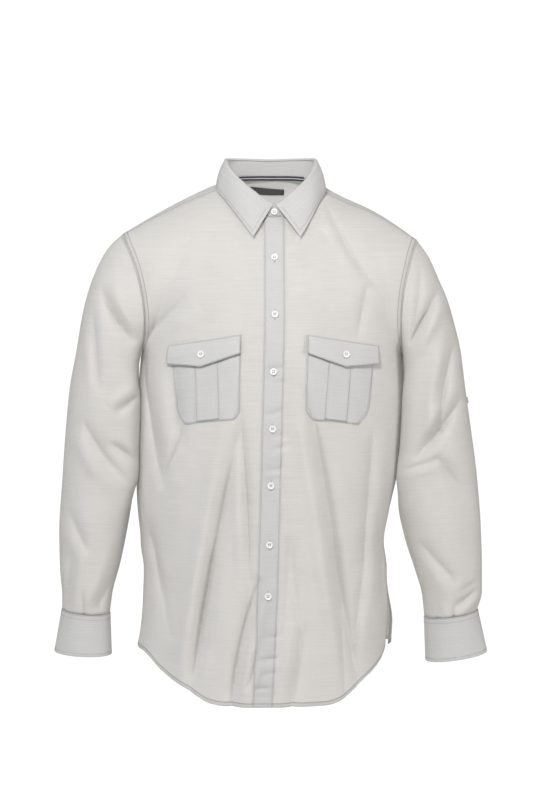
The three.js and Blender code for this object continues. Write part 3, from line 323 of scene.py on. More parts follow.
def armhole_point(beta):
    """The armhole ring, with x counted outwards; beta is 0 at the underarm and 90 in front."""
    angle = np.radians(beta)
    sine, cosine = np.sin(angle), np.cos(angle)
    deep = np.where(sine >= 0, FRONT_DEEP, BACK_DEEP)
    hollow = np.where(sine >= 0, FRONT_HOLLOW, BACK_HOLLOW)
    x = ARMHOLE_X - ARMHOLE_TILT * cosine - hollow * sine * sine
    z = ARMHOLE_Z - ARMHOLE_TALL * cosine
    return x, ARMHOLE_Y - deep * sine, z, SHOULDER_TILT * (1 - cosine) / 2


def inner_end(row):
    """Where a row starts: down the middle of the front or back, or at the neck seam."""
    z_front = HEM_Z + row
    z_back = ROW_NAPE - row
    theta = 180 * (ROW_NAPE - row) / (ROW_NAPE - ROW_PIT)
    neck_x, neck_y, neck_z, neck_lean = neck_point(np.clip(theta, 0, 180))
    front = row <= ROW_PIT
    back = row >= ROW_NAPE
    back_lean = SIDE_LINE("lean", z_back) * smoothstep(-300, -420, z_back)
    x = np.where(front | back, 0, neck_x)
    y = np.where(front, FRONT_LINE("y", z_front), np.where(back, BACK_LINE("y", z_back), neck_y))
    z = np.where(front, z_front, np.where(back, z_back, neck_z))
    lean = np.where(front, FRONT_LINE("lean", z_front), np.where(back, back_lean, neck_lean))
    return x, y, z, lean


def outer_end(row):
    """Where a row ends: at the side seam, or on the armhole."""
    beta = ARMHOLE_ROWS("beta", row)
    arm_x, arm_y, arm_z, arm_tilt = armhole_point(beta)
    side = (row < ROW_UNDERARM) | (row > ROW_BACK_UNDERARM)
    z = SIDE_ROWS("z", np.minimum(row, ROW_BACK_HEM - row))
    x = np.where(side, SIDE_LINE("half", z), arm_x)
    y = np.where(side, SIDE_LINE("y", z), arm_y)
    lean = np.where(side, SIDE_LINE("lean", z), ARMHOLE_LEAN("lean", beta))
    return x, y, np.where(side, z, arm_z), lean, np.where(side, 0, arm_tilt)


def bezier(a, b, c, d, t):
    s = 1 - t
    return a * s ** 3 + 3 * b * s * s * t + 3 * c * s * t * t + d * t ** 3


def smooth_body(across, row):
    """The body without folds; across runs from -1 to 1, from one side to the other."""
    across, row = alike(across, row)
    out = np.abs(across)
    side = np.where(np.signbit(across), -1.0, 1.0)
    x0, y0, z0, lean0 = inner_end(row)
    x1, y1, z1, lean1, tilt = outer_end(row)
    width = x1 - x0
    from_hem = np.minimum(row, ROW_BACK_HEM - row)
    tail = 1 - smoothstep(0, TAIL_FADES, from_hem)
    rise = np.where(side > 0, HEM_RISE[1]("rise", out), HEM_RISE[-1]("rise", out))
    rise = np.where(row < ROW_SHOULDER, rise, smoothstep(TAIL_FROM, TAIL_TO, out))
    drop = mix(out ** FULLNESS("level", row), rise, tail)
    x = bezier(x0, x0 + width * FULLNESS("in_x", row), x0 + width * FULLNESS("out_x", row), x1, out)
    y = bezier(y0, y0 + FULLNESS("in_y", row), y1 + FULLNESS("out_y", row), y1, out)
    z = mix(z0, z1, drop) - side * tilt * out * out
    return side * x + mix(lean0, lean1, out), y, z


def body(across, row):
    """The body's inner face, folded."""
    x, y, z = smooth_body(across, row)
    out = np.abs(across)
    fade = smoothstep(1, FADE_SIDE, out) * smoothstep(0, FADE_SHOULDER, np.abs(row - ROW_SHOULDER))
    front = fold_depth(FRONT_FOLDS, x, z)
    back = fold_depth(BACK_FOLDS, x, z)
    ripple = waves(x, z) * smoothstep(1, 0.94, out)
    y = y + np.where(row < ROW_SHOULDER, front * fade + ripple, -back * fade - ripple)
    z = z - DIP_DEEP * bell(x - DIP_X, DIP_WIDE) * bell(row - ROW_SHOULDER, DIP_LONG)
    flare = FLARE * bell(out - FLARE_OUT, FLARE_WIDE) * smoothstep(FLARE_FROM, FLARE_TO, row)
    x = x + flare * (across > 0)
    return joined(x, y, z)


def across_at(distance, row):
    """How far across a row lies at a signed distance from its middle."""
    distance, row = alike(distance, row)
    x0 = inner_end(row)[0]
    x1 = outer_end(row)[0]
    b = x0 + (x1 - x0) * FULLNESS("in_x", row)
    c = x0 + (x1 - x0) * FULLNESS("out_x", row)
    low = np.zeros(distance.shape)
    high = np.ones(distance.shape)
    for _ in range(26):
        middle = (low + high) / 2
        short = bezier(x0, b, c, x1, middle) < np.abs(distance)
        low = np.where(short, middle, low)
        high = np.where(short, high, middle)
    found = np.where(x0 >= np.abs(distance), 0, (low + high) / 2)
    return np.copysign(found, distance)


def body_at(distance, row):
    return body(across_at(distance, row), row)


def front_at(distance, z):
    """The front at a signed distance from the placket's middle and a height."""
    distance, z = alike(distance, z)
    row = z - HEM_Z
    for _ in range(14):
        row = row + z - smooth_body(across_at(distance, row), row)[2]
    return body_at(distance, row)


def hoop(table, at, cosine, wider=0):
    """The x and z of a ring of a sleeve or cuff, from its outer and inner ends."""
    out_x, in_x, out_z, in_z = [table(key, at) for key in ("out_x", "in_x", "out_z", "in_z")]
    x = (out_x + in_x) / 2 - ((out_x - in_x) / 2 + wider) * cosine
    return x, (out_z + in_z) / 2 - (out_z - in_z) / 2 * cosine


def sleeve(side, ring, beta):
    """A sleeve's inner face."""
    ring, beta = alike(ring, beta)
    angle = np.radians(beta)
    sine, cosine = np.sin(angle), np.cos(angle)
    ahead = sine >= 0
    near = 1 - smoothstep(0, 3, ring)
    under = 3 * ((1 + cosine) / 2) ** 2
    round_edge = (SEAM + under + 0.8 * np.maximum(0, -sine)) * (1 - smoothstep(0, 1, ring))
    lean = ARMHOLE_LEAN("lean", beta % 360) * near
    hollow = np.where(ahead, FRONT_HOLLOW, BACK_HOLLOW) * sine * sine * near
    full = np.where(ahead, NEAR_BODY[side]("front", ring), NEAR_BODY[side]("back", ring))
    full = full * np.maximum(0, np.abs(np.sin(2 * angle)) * (cosine > 0)) ** 1.5
    x, z = hoop(SLEEVES[side], ring, cosine)
    x = x - hollow + round_edge - full
    z = z - side * SHOULDER_TILT * near * (1 - cosine) / 2
    ends = smoothstep(0, 1, ring)
    front, back = [fold_depth(folds, side * x, z) for folds in (FRONT_FOLDS, BACK_FOLDS)]
    pressed = np.where(ahead, front, back) * np.abs(sine) ** 0.6 * ends
    pressed = pressed + waves(side * x, z, 0.3) * ends * np.abs(sine) ** 0.5
    deep = np.where(ahead, SLEEVE_DEPTH("front", ring), SLEEVE_DEPTH("back", ring))
    y = SLEEVE_DEPTH("mid_y", ring) - sine * (deep - pressed)
    return joined(side * x + lean, y, z)


def cuff(side, down, turn):
    """A cuff's inner face; turn runs once round and past itself."""
    down, turn = alike(down, turn)
    table = CUFFS[side]
    angle = np.radians(CUFF_AT + turn)
    over = CUFF_LIFT * smoothstep(360 - CUFF_RISE, 360, turn)
    x, z = hoop(table, down, np.cos(angle), over)
    y = table("mid_y", down) - np.sin(angle) * (table("deep", down) + over)
    return joined(side * x, y, z)


def stand(theta, up):
    """The collar stand's inner face."""
    theta, up = alike(theta, up)
    x0, y0, z0, lean = neck_point(theta)
    angle = np.radians(theta)
    x1 = STAND_HALF * np.sin(angle)
    y1 = STAND_Y + STAND_DEEP * np.cos(angle)
    z1 = FOLD_LINE("z", np.abs(theta)) - STAND_BELOW
    length = np.sqrt((x1 - x0) ** 2 + (y1 - y0) ** 2 + (z1 - z0) ** 2)
    share = mix(STAND_LIFT / length, 1, up)
    lap = 0.95 * smoothstep(166, 178, np.abs(theta)) * np.sign(theta)
    x = mix(x0, x1, share) + lean + lap * np.sin(angle)
    y = mix(y0, y1, share) + lap * np.cos(angle)
    return joined(x, y, mix(z0, z1, share))


def leaf(theta, down):
    """The collar leaf's inner face; down is 0 over the stand's top edge, 1 at its own edge."""
    theta, down = alike(theta, down)
    side = np.where(theta < 0, -1.0, 1.0)
    turned = np.abs(theta)
    angle = np.radians(turned)
    outward = joined(side * np.sin(angle), np.cos(angle), 0.0)
    base = stand(theta, np.ones(theta.shape))
    base[..., 2] += SEAM + LEAF_SLOPE_GAP * smoothstep(90, 150, turned)
    centre = base + outward * (STAND_WALL + LEAF_ROLL) / 2
    roll = np.pi * (1 - np.clip(down / ROLL_SHARE, 0, 1))
    rolled = centre + outward * (LEAF_ROLL * np.cos(roll))[..., None]
    rolled[..., 2] += LEAF_ROLL * np.sin(roll)
    share = np.clip((down - ROLL_SHARE) / (1 - ROLL_SHARE), 0, 1)
    lean = POINT_LEAN * smoothstep(60, 180, turned)
    x, y, z = [LEAF_EDGE(key, turned) for key in "xyz"]
    edge = joined(side * x + lean, y, z)
    start = centre + outward * LEAF_ROLL
    puff = LEAF_PUFF * np.sin(np.pi * share)
    fallen = start + (edge - start) * share[..., None] + outward * puff[..., None]
    fallen[..., 2] += puff * 0.5
    return np.where((down <= ROLL_SHARE)[..., None], rolled, fallen)


# Sheets of cloth, made from grids of points

def unit(vectors):
    return vectors / np.maximum(np.linalg.norm(vectors, axis=-1, keepdims=True), 1e-9)


def running(points, axis):
    """Lengths along the rows or columns of a grid of points, from its first line."""
    step = np.linalg.norm(np.diff(points, axis=axis), axis=-1)
    start = np.zeros_like(np.take(step, [0], axis=axis))
    return np.concatenate([start, np.cumsum(step, axis=axis)], axis=axis)


def steps(low, high, spacing):
    """Even steps between two values, about spacing apart, both ends included."""
    count = max(1, int(math.ceil(abs(high - low) / spacing)))
    return np.linspace(low, high, count + 1)


def banded(low, high, spacing, low_bands, high_bands):
    """Even steps, with steps at set distances from the two ends."""
    start = [low + d for d in low_bands[:-1]]
    end = [high - d for d in high_bands[-2::-1]]
    return np.concatenate([start, steps(low + low_bands[-1], high - high_bands[-1], spacing), end])


def edged(high, spacing, *bands):
    """Even steps from 0, with the same set steps at both ends."""
    return banded(0, high, spacing, (0, *bands), (0, *bands))


class Patch:
    """A grid of points in the cloth, with the heights of its two faces over them, and how much painted
    shade darkens each point.
    """

    def __init__(self, points, sign, inner, outer, v=None, wrap=False, shade=0.0):
        self.points = points
        self.sign = sign
        normals = np.cross(np.gradient(points, axis=1), np.gradient(points, axis=0)) * sign
        if wrap:
            normals[:, 0] = normals[:, -1] = normals[:, 0] + normals[:, -1]
        self.normals = unit(normals)
        shape = points.shape[:2]
        self.inner = np.broadcast_to(inner, shape)
        self.outer = np.broadcast_to(outer, shape)
        self.u = running(points, 1)
        self.v = running(points, 0)
        self.weave = joined(self.u, self.v if v is None else v, shade)
        self.high = points + self.normals * self.outer[..., None]

    def at(self, row, column):
        """Places on the outer face, with their normals, at parts of rows and columns."""
        row, column = alike(row, column)
        j = np.clip(row.astype(int), 0, self.high.shape[0] - 2)
        i = np.clip(column.astype(int), 0, self.high.shape[1] - 2)
        t, s = (row - j)[..., None], (column - i)[..., None]

        def read(grid):
            first = grid[j, i] * (1 - s) + grid[j, i + 1] * s
            return first * (1 - t) + (grid[j + 1, i] * (1 - s) + grid[j + 1, i + 1] * s) * t
        return read(self.high), unit(read(self.normals))

    def flat_area(self):
        a = self.points[1:, 1:] - self.points[:-1, :-1]
        b = self.points[1:, :-1] - self.points[:-1, 1:]
        return np.linalg.norm(np.cross(a, b), axis=-1).sum() / 2


patches_of = {}


def add_object(name, mesh, slot, material=None, replaces=()):
    mesh.materials.append(material or FINISHES[slot])
    obj = bpy.data.objects.new(name, mesh)
    bpy.context.collection.objects.link(obj)
    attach(obj, "root")
    if replaces:
        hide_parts(*replaces)
    return obj


def new_mesh(name, vertices, faces, smooth_faces, weave=None):
    """A mesh in metres from points in millimetres, with their places in the weave, whose third part is
    their painted shade.
    """
    mesh = bpy.data.meshes.new(name)
    mesh.from_pydata((np.asarray(vertices) * MM).tolist(), [], np.asarray(faces).tolist())
    mesh.polygons.foreach_set("use_smooth", smooth_faces)
    if weave is not None:
        layer = mesh.attributes.new("weave", "FLOAT_VECTOR", "POINT")
        layer.data.foreach_set("vector", (weave * MM).astype(np.float32).ravel())
    mesh.update()
    return mesh


def build_sheet(node, slot, *patches):
    """A closed shell of cloth for a node, from patches joined where their points meet."""
    name = "cloth_" + node

    def gather(key):
        return np.concatenate([getattr(p, key).reshape(p.inner.size, -1) for p in patches])
    points, normals, inner, outer, weave = map(gather, ("points", "normals", "inner", "outer", "weave"))
    _, first, back = np.unique(np.round(points * 400), axis=0, return_index=True, return_inverse=True)
    back = back.ravel()
    summed = np.zeros((len(first), 3))
    np.add.at(summed, back, normals)
    normal = unit(summed)
    low = points[first] + normal * inner[first]
    high = points[first] + normal * outer[first]
    quads = []
    start = 0
    for patch in patches:
        rows, columns = patch.points.shape[:2]
        index = start + np.arange(rows * columns).reshape(rows, columns)
        start += rows * columns
        quad = np.stack([index[:-1, :-1], index[:-1, 1:], index[1:, 1:], index[1:, :-1]], axis=-1)
        quad = quad.reshape(-1, 4)
        quads.append(quad if patch.sign > 0 else quad[:, ::-1])
    quads = back[np.concatenate(quads)]
    sides = np.concatenate([quads[:, [k, (k + 1) % 4]] for k in range(4)])
    count = len(first)
    code = sides[:, 0] * count + sides[:, 1]
    reverse = sides[:, 1] * count + sides[:, 0]
    edge = sides[~np.isin(code, reverse) & (sides[:, 0] != sides[:, 1])]
    rim = np.stack([edge[:, 0] + count, edge[:, 0], edge[:, 1], edge[:, 1] + count], axis=-1)
    faces = np.concatenate([quads + count, quads[:, ::-1], rim])
    smooth = np.ones(len(faces), bool)
    smooth[2 * len(quads):] = False
    weave = np.concatenate([weave[first]] * 2)
    mesh = new_mesh(name, np.concatenate([low, high]), faces, smooth, weave)
    patches_of[name] = patches
    add_object(name, mesh, slot, replaces=[node])
    return name


# Sewing: each stitch is a short raised thread between two holes

PITCH = 3.0
STITCH_SHARE, STITCH_HALF, STITCH_TALL = 0.8, 0.25, 0.32
HOLE_PITCH = 0.8
seams = {}


def sew(piece, line, pitch=PITCH):
    """A line of stitches on a piece, along points with their normals."""
    seams.setdefault(piece, []).append((line[0], line[1], pitch))


def lengths_along(points):
    """Lengths along a line of points, from its start."""
    return running(points[None], 1)[0]


def build_threads(slot, material):
    cross = np.array([(-1, -0.5), (-0.7, 1), (0.7, 1), (1, -0.5)])
    sides = np.array([(k * 4 + m, k * 4 + (m + 1) % 4, k * 4 + 4 + (m + 1) % 4, k * 4 + 4 + m)
                      for k in range(2) for m in range(4)] + [(3, 2, 1, 0), (8, 9, 10, 11)])
    for piece, lines in seams.items():
        made = []
        for points, normals, pitch in lines:
            lengths = lengths_along(points)
            count = max(1, int(lengths[-1] / pitch))
            start = np.arange(count) * lengths[-1] / count

            def read(at, values):
                return joined(*[np.interp(at, lengths, values[:, k]) for k in range(3)])
            long = pitch * STITCH_SHARE
            a, b, c = [read(start + long * share, points) for share in (0, 0.5, 1)]
            up = unit(read(start + long / 2, normals))
            side = unit(np.cross(up, c - a))
            rings = []
            for place, full in ((a, 0.3), (b, 1.0), (c, 0.3)):
                for wide, tall in cross:
                    lift = up * tall * (full if tall > 0 else 1) * STITCH_TALL
                    rings.append(place + side * wide * full ** 0.5 * STITCH_HALF + lift)
            made.append(np.stack(rings, axis=1))
        vertices = np.concatenate(made)
        faces = (sides[None] + 12 * np.arange(len(vertices))[:, None, None]).reshape(-1, 4)
        name = "stitches_" + piece
        mesh = new_mesh(name, vertices.reshape(-1, 3), faces, np.ones(len(faces), bool))
        add_object(name, mesh, slot, material)


# Materials

class Finish:
    """A new material, whose nodes are added and fed by the names of their sockets."""

    def __init__(self, name, roughness):
        self.material = bpy.data.materials.new(name)
        self.material.use_nodes = True
        self.nodes = self.material.node_tree.nodes
        self.shader = self.nodes["Principled BSDF"]
        self.feed(self.shader, Roughness=roughness)

    def feed(self, node, **inputs):
        """Sets sockets to values, or links them to other sockets."""
        for key, value in inputs.items():
            socket = node.inputs[key.replace("_", " ")]
            if isinstance(value, bpy.types.NodeSocket):
                self.material.node_tree.links.new(value, socket)
            else:
                socket.default_value = value

    def add(self, kind, **inputs):
        node = self.nodes.new("ShaderNode" + kind)
        self.feed(node, **inputs)
        return node

    def weave(self):
        """Places in the cloth, and the same split into their three parts."""
        place = self.add("Attribute")
        place.attribute_name = "weave"
        where = place.outputs["Vector"]
        return where, self.add("SeparateXYZ", Vector=where).outputs

    def streaks(self, place, scale, detail, roughness):
        mapping = self.add("Mapping", Scale=scale, Vector=place)
        where = mapping.outputs["Vector"]
        noise = self.add("TexNoise", Scale=1.0, Detail=detail, Roughness=roughness, Vector=where)
        return noise.outputs["Fac"]

    def reckon(self, operation, *values):
        node = self.add("Math")
        node.operation = operation
        for socket, value in zip(node.inputs, values):
            if isinstance(value, float):
                socket.default_value = value
            else:
                self.material.node_tree.links.new(value, socket)
        return node.outputs[0]

    def ramp(self, fac, low, high, low_at=0.0, high_at=1.0):
        ramp = self.add("ValToRGB", Fac=fac)
        ends = ramp.color_ramp.elements
        ends[0].position, ends[1].position = low_at, high_at
        ends[0].color, ends[1].color = (*low, 1), (*high, 1)
        return ramp.outputs["Color"]

    def bump(self, height, strength, deep_mm, *shaders):
        bump = self.add("Bump", Strength=strength, Distance=deep_mm * MM, Height=height)
        for shader in shaders:
            self.feed(shader, Normal=bump.outputs["Normal"])


THREADS_A_METRE = 2100
PAINTED_SHADE_COLOR, SEWN_THROUGH = (0.42, 0.42, 0.435), 0.4     # painted shade on seams, hems and edges; where sewing packs the cloth, less light comes through
THREAD_NOISES = (
    ((16, 700, 1), 3, 0.6, 0.40), ((60, 1600, 1), 2, 0.6, 0.30),
    ((1500, 24, 1), 2, 0.6, 0.15), ((16, 16, 1), 3, 0.5, 0.15))


def cloth_material(name, low, high, through):
    """Slub chambray: uneven threads across the cloth, a fine weave, some light through it, and painted
    shade where the weave's third part says so.
    """
    finish = Finish(name, 0.85)
    where, parts = finish.weave()
    total = 0.0
    for scale, detail, roughness, share in THREAD_NOISES:
        noise = finish.streaks(where, scale, detail, roughness)
        total = finish.reckon("MULTIPLY_ADD", noise, share, total)
    # The weave's third part is how much painted shade darkens the cloth: in seam grooves, along hems and
    # edges, and a little over felled seams.
    painted_shade = finish.reckon("MULTIPLY", parts["Z"], 1 / MM)
    both = finish.add("VectorMath")
    both.operation = "MULTIPLY"
    shades = finish.ramp(total, low, high, 0.34, 0.66), finish.ramp(painted_shade, (1, 1, 1), PAINTED_SHADE_COLOR)
    for socket, shade in zip(both.inputs, shades):
        finish.material.node_tree.links.new(shade, socket)
    color = both.outputs["Vector"]
    finish.feed(finish.shader, Base_Color=color, Specular_IOR_Level=0.25, Sheen_Weight=0.15,
                Sheen_Roughness=0.5)
    rows = []
    for direction in "XY":
        wave = finish.add("TexWave", Scale=THREADS_A_METRE / 20, Vector=where)
        wave.bands_direction = direction
        rows.append(wave.outputs["Fac"])
    height = finish.reckon("MULTIPLY_ADD", total, 3.0, finish.reckon("ADD", *rows))
    behind = finish.add("BsdfTranslucent", Color=color)
    finish.bump(height, 0.3, 0.1, finish.shader, behind)
    # Where shade is painted, less light also comes through the cloth.
    lets = finish.add("MapRange", To_Min=through, To_Max=through * SEWN_THROUGH, Value=painted_shade)
    mixed = finish.add("MixShader", Fac=lets.outputs["Result"])
    links = finish.material.node_tree.links
    links.new(finish.shader.outputs["BSDF"], mixed.inputs[1])
    links.new(behind.outputs["BSDF"], mixed.inputs[2])
    finish.feed(finish.nodes["Material Output"], Surface=mixed.outputs["Shader"])
    return finish.material


def plain_material(name, low, high, roughness, scale, deep_mm, coat=0.0):
    """A material of two near colours that drift into each other."""
    finish = Finish(name, roughness)
    place = finish.add("TexCoord").outputs["Object"]
    drift = finish.streaks(place, (scale, scale, scale), 3, 0.5)
    finish.feed(finish.shader, Base_Color=finish.ramp(drift, low, high, 0.3, 0.7), Coat_Weight=coat)
    finish.bump(drift, 0.3, deep_mm, finish.shader)
    return finish.material


def tape_material(name, navy, white, stripe_half):
    """A navy tape with one white stripe along its middle."""
    finish = Finish(name, 0.8)
    where, parts = finish.weave()
    inside = finish.reckon("LESS_THAN", finish.reckon("ABSOLUTE", parts["Y"]), stripe_half * MM)
    finish.feed(finish.shader, Base_Color=finish.ramp(inside, navy, white))
    finish.bump(finish.streaks(where, (1800, 900, 1), 2, 0.5), 0.4, 0.1, finish.shader)
    return finish.material


# Dark grey stitching thread: part of its darkness is painted shade for the shadow in the stitched
# grooves.
thread = plain_material("thread", (0.16, 0.16, 0.165), (0.26, 0.26, 0.26), 0.8, 300, 0.05)
tie_white = plain_material("tie_white", (0.5, 0.5, 0.49), (0.62, 0.62, 0.6), 0.8, 300, 0.05)
FINISHES = {
    "cloth": cloth_material("chambray", (0.775, 0.765, 0.746), (0.89, 0.882, 0.867), 0.5),
    # The doubled cloth's colour is a darker copy of the single cloth's: painted shade for the light that
    # two layers let through less.
    "cloth_double": cloth_material(
        "chambray_double_painted_shade", (0.665, 0.666, 0.662), (0.78, 0.78, 0.776), 0.34),
    "button": plain_material(
        "button_white", (0.78, 0.78, 0.76), (0.86, 0.86, 0.84), 0.3, 160, 0.02, 0.3),
    "tape": tape_material("tape_navy", (0.02, 0.022, 0.034), (0.55, 0.55, 0.55), 0.6),
    "label": plain_material(
        "label_grey", (0.026, 0.025, 0.027), (0.04, 0.038, 0.04), 0.5, 500, 0.05)}

# Panels of the body

SIDE_BANDS = (0, 0.7, 1.4, 2.2, 4, 6, 7.4, 8.0, 8.6, 9.6, 12)
HEM_BANDS = (0, 0.7, 1.6, 3, 4.4, 5.2, 5.8, 6.4, 7.0, 7.8, 10)
FELL_STITCHES, FELL_ENDS = (1.4, 7.4), (8.0, 8.6)
HEM_STITCH, HEM_ENDS = 5.8, (6.4, 7.0)
PUCKER = 0.14


def fell(distance, down, seed):
    """The thicker cloth of a felled seam, with two stitched grooves and slight puckers."""
    inside = 1 - smoothstep(*FELL_ENDS, distance)
    grooves = sum(bell(distance - place, 0.6) for place in FELL_STITCHES)
    pucker = np.sin(down / 1.9 + seed) * np.sin(down / 7.3 + seed * 3)
    return FELL * (inside - 0.55 * grooves) + PUCKER * pucker * np.exp(-np.abs(distance - 5) / 6)


def fell_painted_shade(distance):
    """How much shade is painted on a felled seam: a little all over, and more in its grooves."""
    grooves = sum(bell(distance - place, 0.7) for place in FELL_STITCHES)
    return np.clip(0.12 * (1 - smoothstep(*FELL_ENDS, distance)) + 0.3 * grooves, 0, 1)


def hem_painted_shade(distance):
    # Painted shade: dark lines along the hem's edge and in its stitched groove, and a little over the
    # turned hem.
    edge = bell(distance, 0.9) + bell(distance - HEM_STITCH, 0.7)
    return np.clip(0.15 * (1 - smoothstep(*HEM_ENDS, distance)) + 0.7 * edge, 0, 1)


def hem_fold(distance, run, seed):
    """The narrow turned hem, with one stitched groove and its ripples."""
    inside = 1 - smoothstep(*HEM_ENDS, distance)
    ripple = np.sin(run / 2.3 + seed) * np.sin(run / 9.1 + seed * 2)
    return 0.4 * inside - 0.25 * bell(distance - HEM_STITCH, 0.6) + 0.2 * ripple * np.exp(-distance / 9)


def across_rows(side, rows, first):
    """Places across each row, evenly spaced from a distance, then set apart at the side."""
    fine = np.linspace(0, 1, 161)
    smooth = joined(*smooth_body(fine[None, :] * side, rows[:, None]))
    lengths = running(smooth, 1)
    total = lengths[:, -1] - HALF_SEAM
    start = np.array([np.interp(np.abs(across_at(first, row)), fine, length)
                      for row, length in zip(rows, lengths)])
    count = int(math.ceil((total - start - SIDE_BANDS[-1]).max() / GRAIN))
    even = np.linspace(0, 1, count + 1)[None, :]
    middle = start[:, None] + (total - SIDE_BANDS[-1] - start)[:, None] * even
    ends = total[:, None] - np.array(SIDE_BANDS[-2::-1])[None, :]
    wanted = np.concatenate([middle, ends], axis=1)
    across = np.array([np.interp(w, length, fine) for w, length in zip(wanted, lengths)])
    return across * side, total[:, None] - wanted, wanted - start[:, None], start


def panel_patch(side, rows, first, heights, hem_at, seam_at=()):
    """A half of a body panel, thicker at its hem and seams, with painted shade along its side seam and
    hem.
    """
    across, from_side, from_start, start = across_rows(side, rows, first)
    row = np.repeat(rows[:, None], across.shape[1], axis=1)
    thick = fell(from_side, row, side * 1.3)
    shade = fell_painted_shade(from_side)
    for seam in seam_at:
        thick = np.maximum(thick, fell(np.abs(row - seam), from_start, side * 0.7))
    if hem_at is not None:
        thick = np.maximum(thick, hem_fold(np.abs(row - hem_at), from_start, side * 2.1))
        shade = np.maximum(shade, hem_painted_shade(np.abs(row - hem_at)))
    thick = thick * (smoothstep(2.6, 6, from_start) if first else 1)
    patch = Patch(body(across, row), side, heights[0], heights[1] + thick, shade=shade)
    patch.weave[..., 0] = side * (from_start + start[:, None])
    patch.weave[..., 1] = patch.points[..., 2] if heights is CLOTH else row
    return patch


def column_line(patch, from_end):
    """The outer face along a column, counted from the last."""
    column = patch.high.shape[1] - 1 - from_end
    return patch.high[:, column], patch.normals[:, column]


def row_line(patch, row, columns=slice(None)):
    return patch.high[row, columns], patch.normals[row, columns]


SIDE_COLUMNS = [SIDE_BANDS.index(place) for place in FELL_STITCHES]
HEM_ROW = HEM_BANDS.index(HEM_STITCH)
LABELS = {1: "left", -1: "right"}

for side, label in LABELS.items():
    rows = banded(0, ROW_FRONT_YOKE - HALF_SEAM, GRAIN_DOWN, HEM_BANDS, SIDE_BANDS)
    patch = panel_patch(side, rows, (PLACKET_HALF - 2) * side, CLOTH, 0, [ROW_FRONT_YOKE])
    name = build_sheet("front_" + label, "cloth", patch)
    for column in SIDE_COLUMNS:
        sew(name, column_line(patch, column))
    sew(name, row_line(patch, HEM_ROW, slice(3, None)))

rows = banded(ROW_FRONT_YOKE + HALF_SEAM, ROW_BACK_YOKE - HALF_SEAM, 2.9, SIDE_BANDS, SIDE_BANDS)
halves = [panel_patch(side, rows, 0.0, DOUBLE, None) for side in LABELS]
name = build_sheet("yoke", "cloth_double", *halves)
for patch in halves:
    for row in (SIDE_COLUMNS[0], len(rows) - 1 - SIDE_COLUMNS[0]):
        sew(name, row_line(patch, row))

rows = banded(ROW_BACK_YOKE + HALF_SEAM, ROW_BACK_HEM, GRAIN_DOWN, SIDE_BANDS, HEM_BANDS)
halves = [panel_patch(side, rows, 0.0, CLOTH, ROW_BACK_HEM) for side in LABELS]
name = build_sheet("back", "cloth", *halves)
for patch in halves:
    for column in SIDE_COLUMNS:
        sew(name, column_line(patch, column))
    sew(name, row_line(patch, len(rows) - 1 - HEM_ROW))


# The strips down the front

def neck_row(distance):
    theta = 180 - np.degrees(np.arcsin(np.abs(distance) / NECK_HALF))
    return ROW_NAPE - (ROW_NAPE - ROW_PIT) * theta / 180


STRIP_GRAIN = 3.2
STRIP_HALF = (2.8, 5.5, 8.2, 9.3, 10.6, 12.6, 14.6, PLACKET_HALF)


def strip_patch(node, distances):
    """A strip from the hem to the neck, slightly rippled along its edges."""
    row_share = banded(0, 1, STRIP_GRAIN / ROW_PIT, [d / ROW_PIT for d in HEM_BANDS], (0,))[:, None]
    row = row_share * (neck_row(distances)[None, :] - HALF_SEAM)
    points = body_at(np.repeat(distances[None, :], len(row), axis=0), row)
    ripple = 0.25 * np.sin(row / 3.1 + distances[None, :] / 9) * np.sin(row / 13.0)
    # Painted shade along the placket's edges, and the hem's painted shade near the bottom.
    painted_edge_shade = 0.25 * bell(np.abs(distances) - PLACKET_HALF, 0.7)[None, :]
    low, high = WALLS[node]
    high = high + ripple * (np.abs(distances[None, :]) > 9) * 0.5
    return Patch(points, 1, low, high, shade=np.maximum(painted_edge_shade, hem_painted_shade(row) * 0.8))


distances = np.array([-d for d in reversed(STRIP_HALF)] + [0, *STRIP_HALF])
patch = strip_patch("placket", distances)
name = build_sheet("placket", "cloth_double", patch)
for column in (1.5, 14.5):
    sew(name, patch.at(np.arange(1, patch.high.shape[0] - 1.5, 0.5), column))
patch = strip_patch("button_stand", np.linspace(-PLACKET_HALF, PLACKET_HALF - 2.3, 12))
build_sheet("button_stand", "cloth_double", patch)

# Sleeves, sleeve plackets and cuffs


def ring_steps(side, spacing):
    """Rings of a sleeve about evenly apart along its outer edge."""
    fine = np.linspace(0, 12, 481)
    lengths = lengths_along(joined(*[SLEEVES[side](key, fine) for key in ("out_x", "out_z")]))
    return np.interp(steps(0, lengths[-1], spacing), lengths, fine)


CUFF_STITCHES = (0.02, 0.11, 0.925)
CUFF_TALL = 70
SLIT_RINGS, SLIT_BETAS = (9.4, 11.9), (226, 242)    # where the strip at a sleeve's opening lies
MEAN_GIRTH = 380            # how far round a sleeve is, on average
GRAIN_SLOPE = 0.083        # how far a sleeve's threads run outwards on their way down

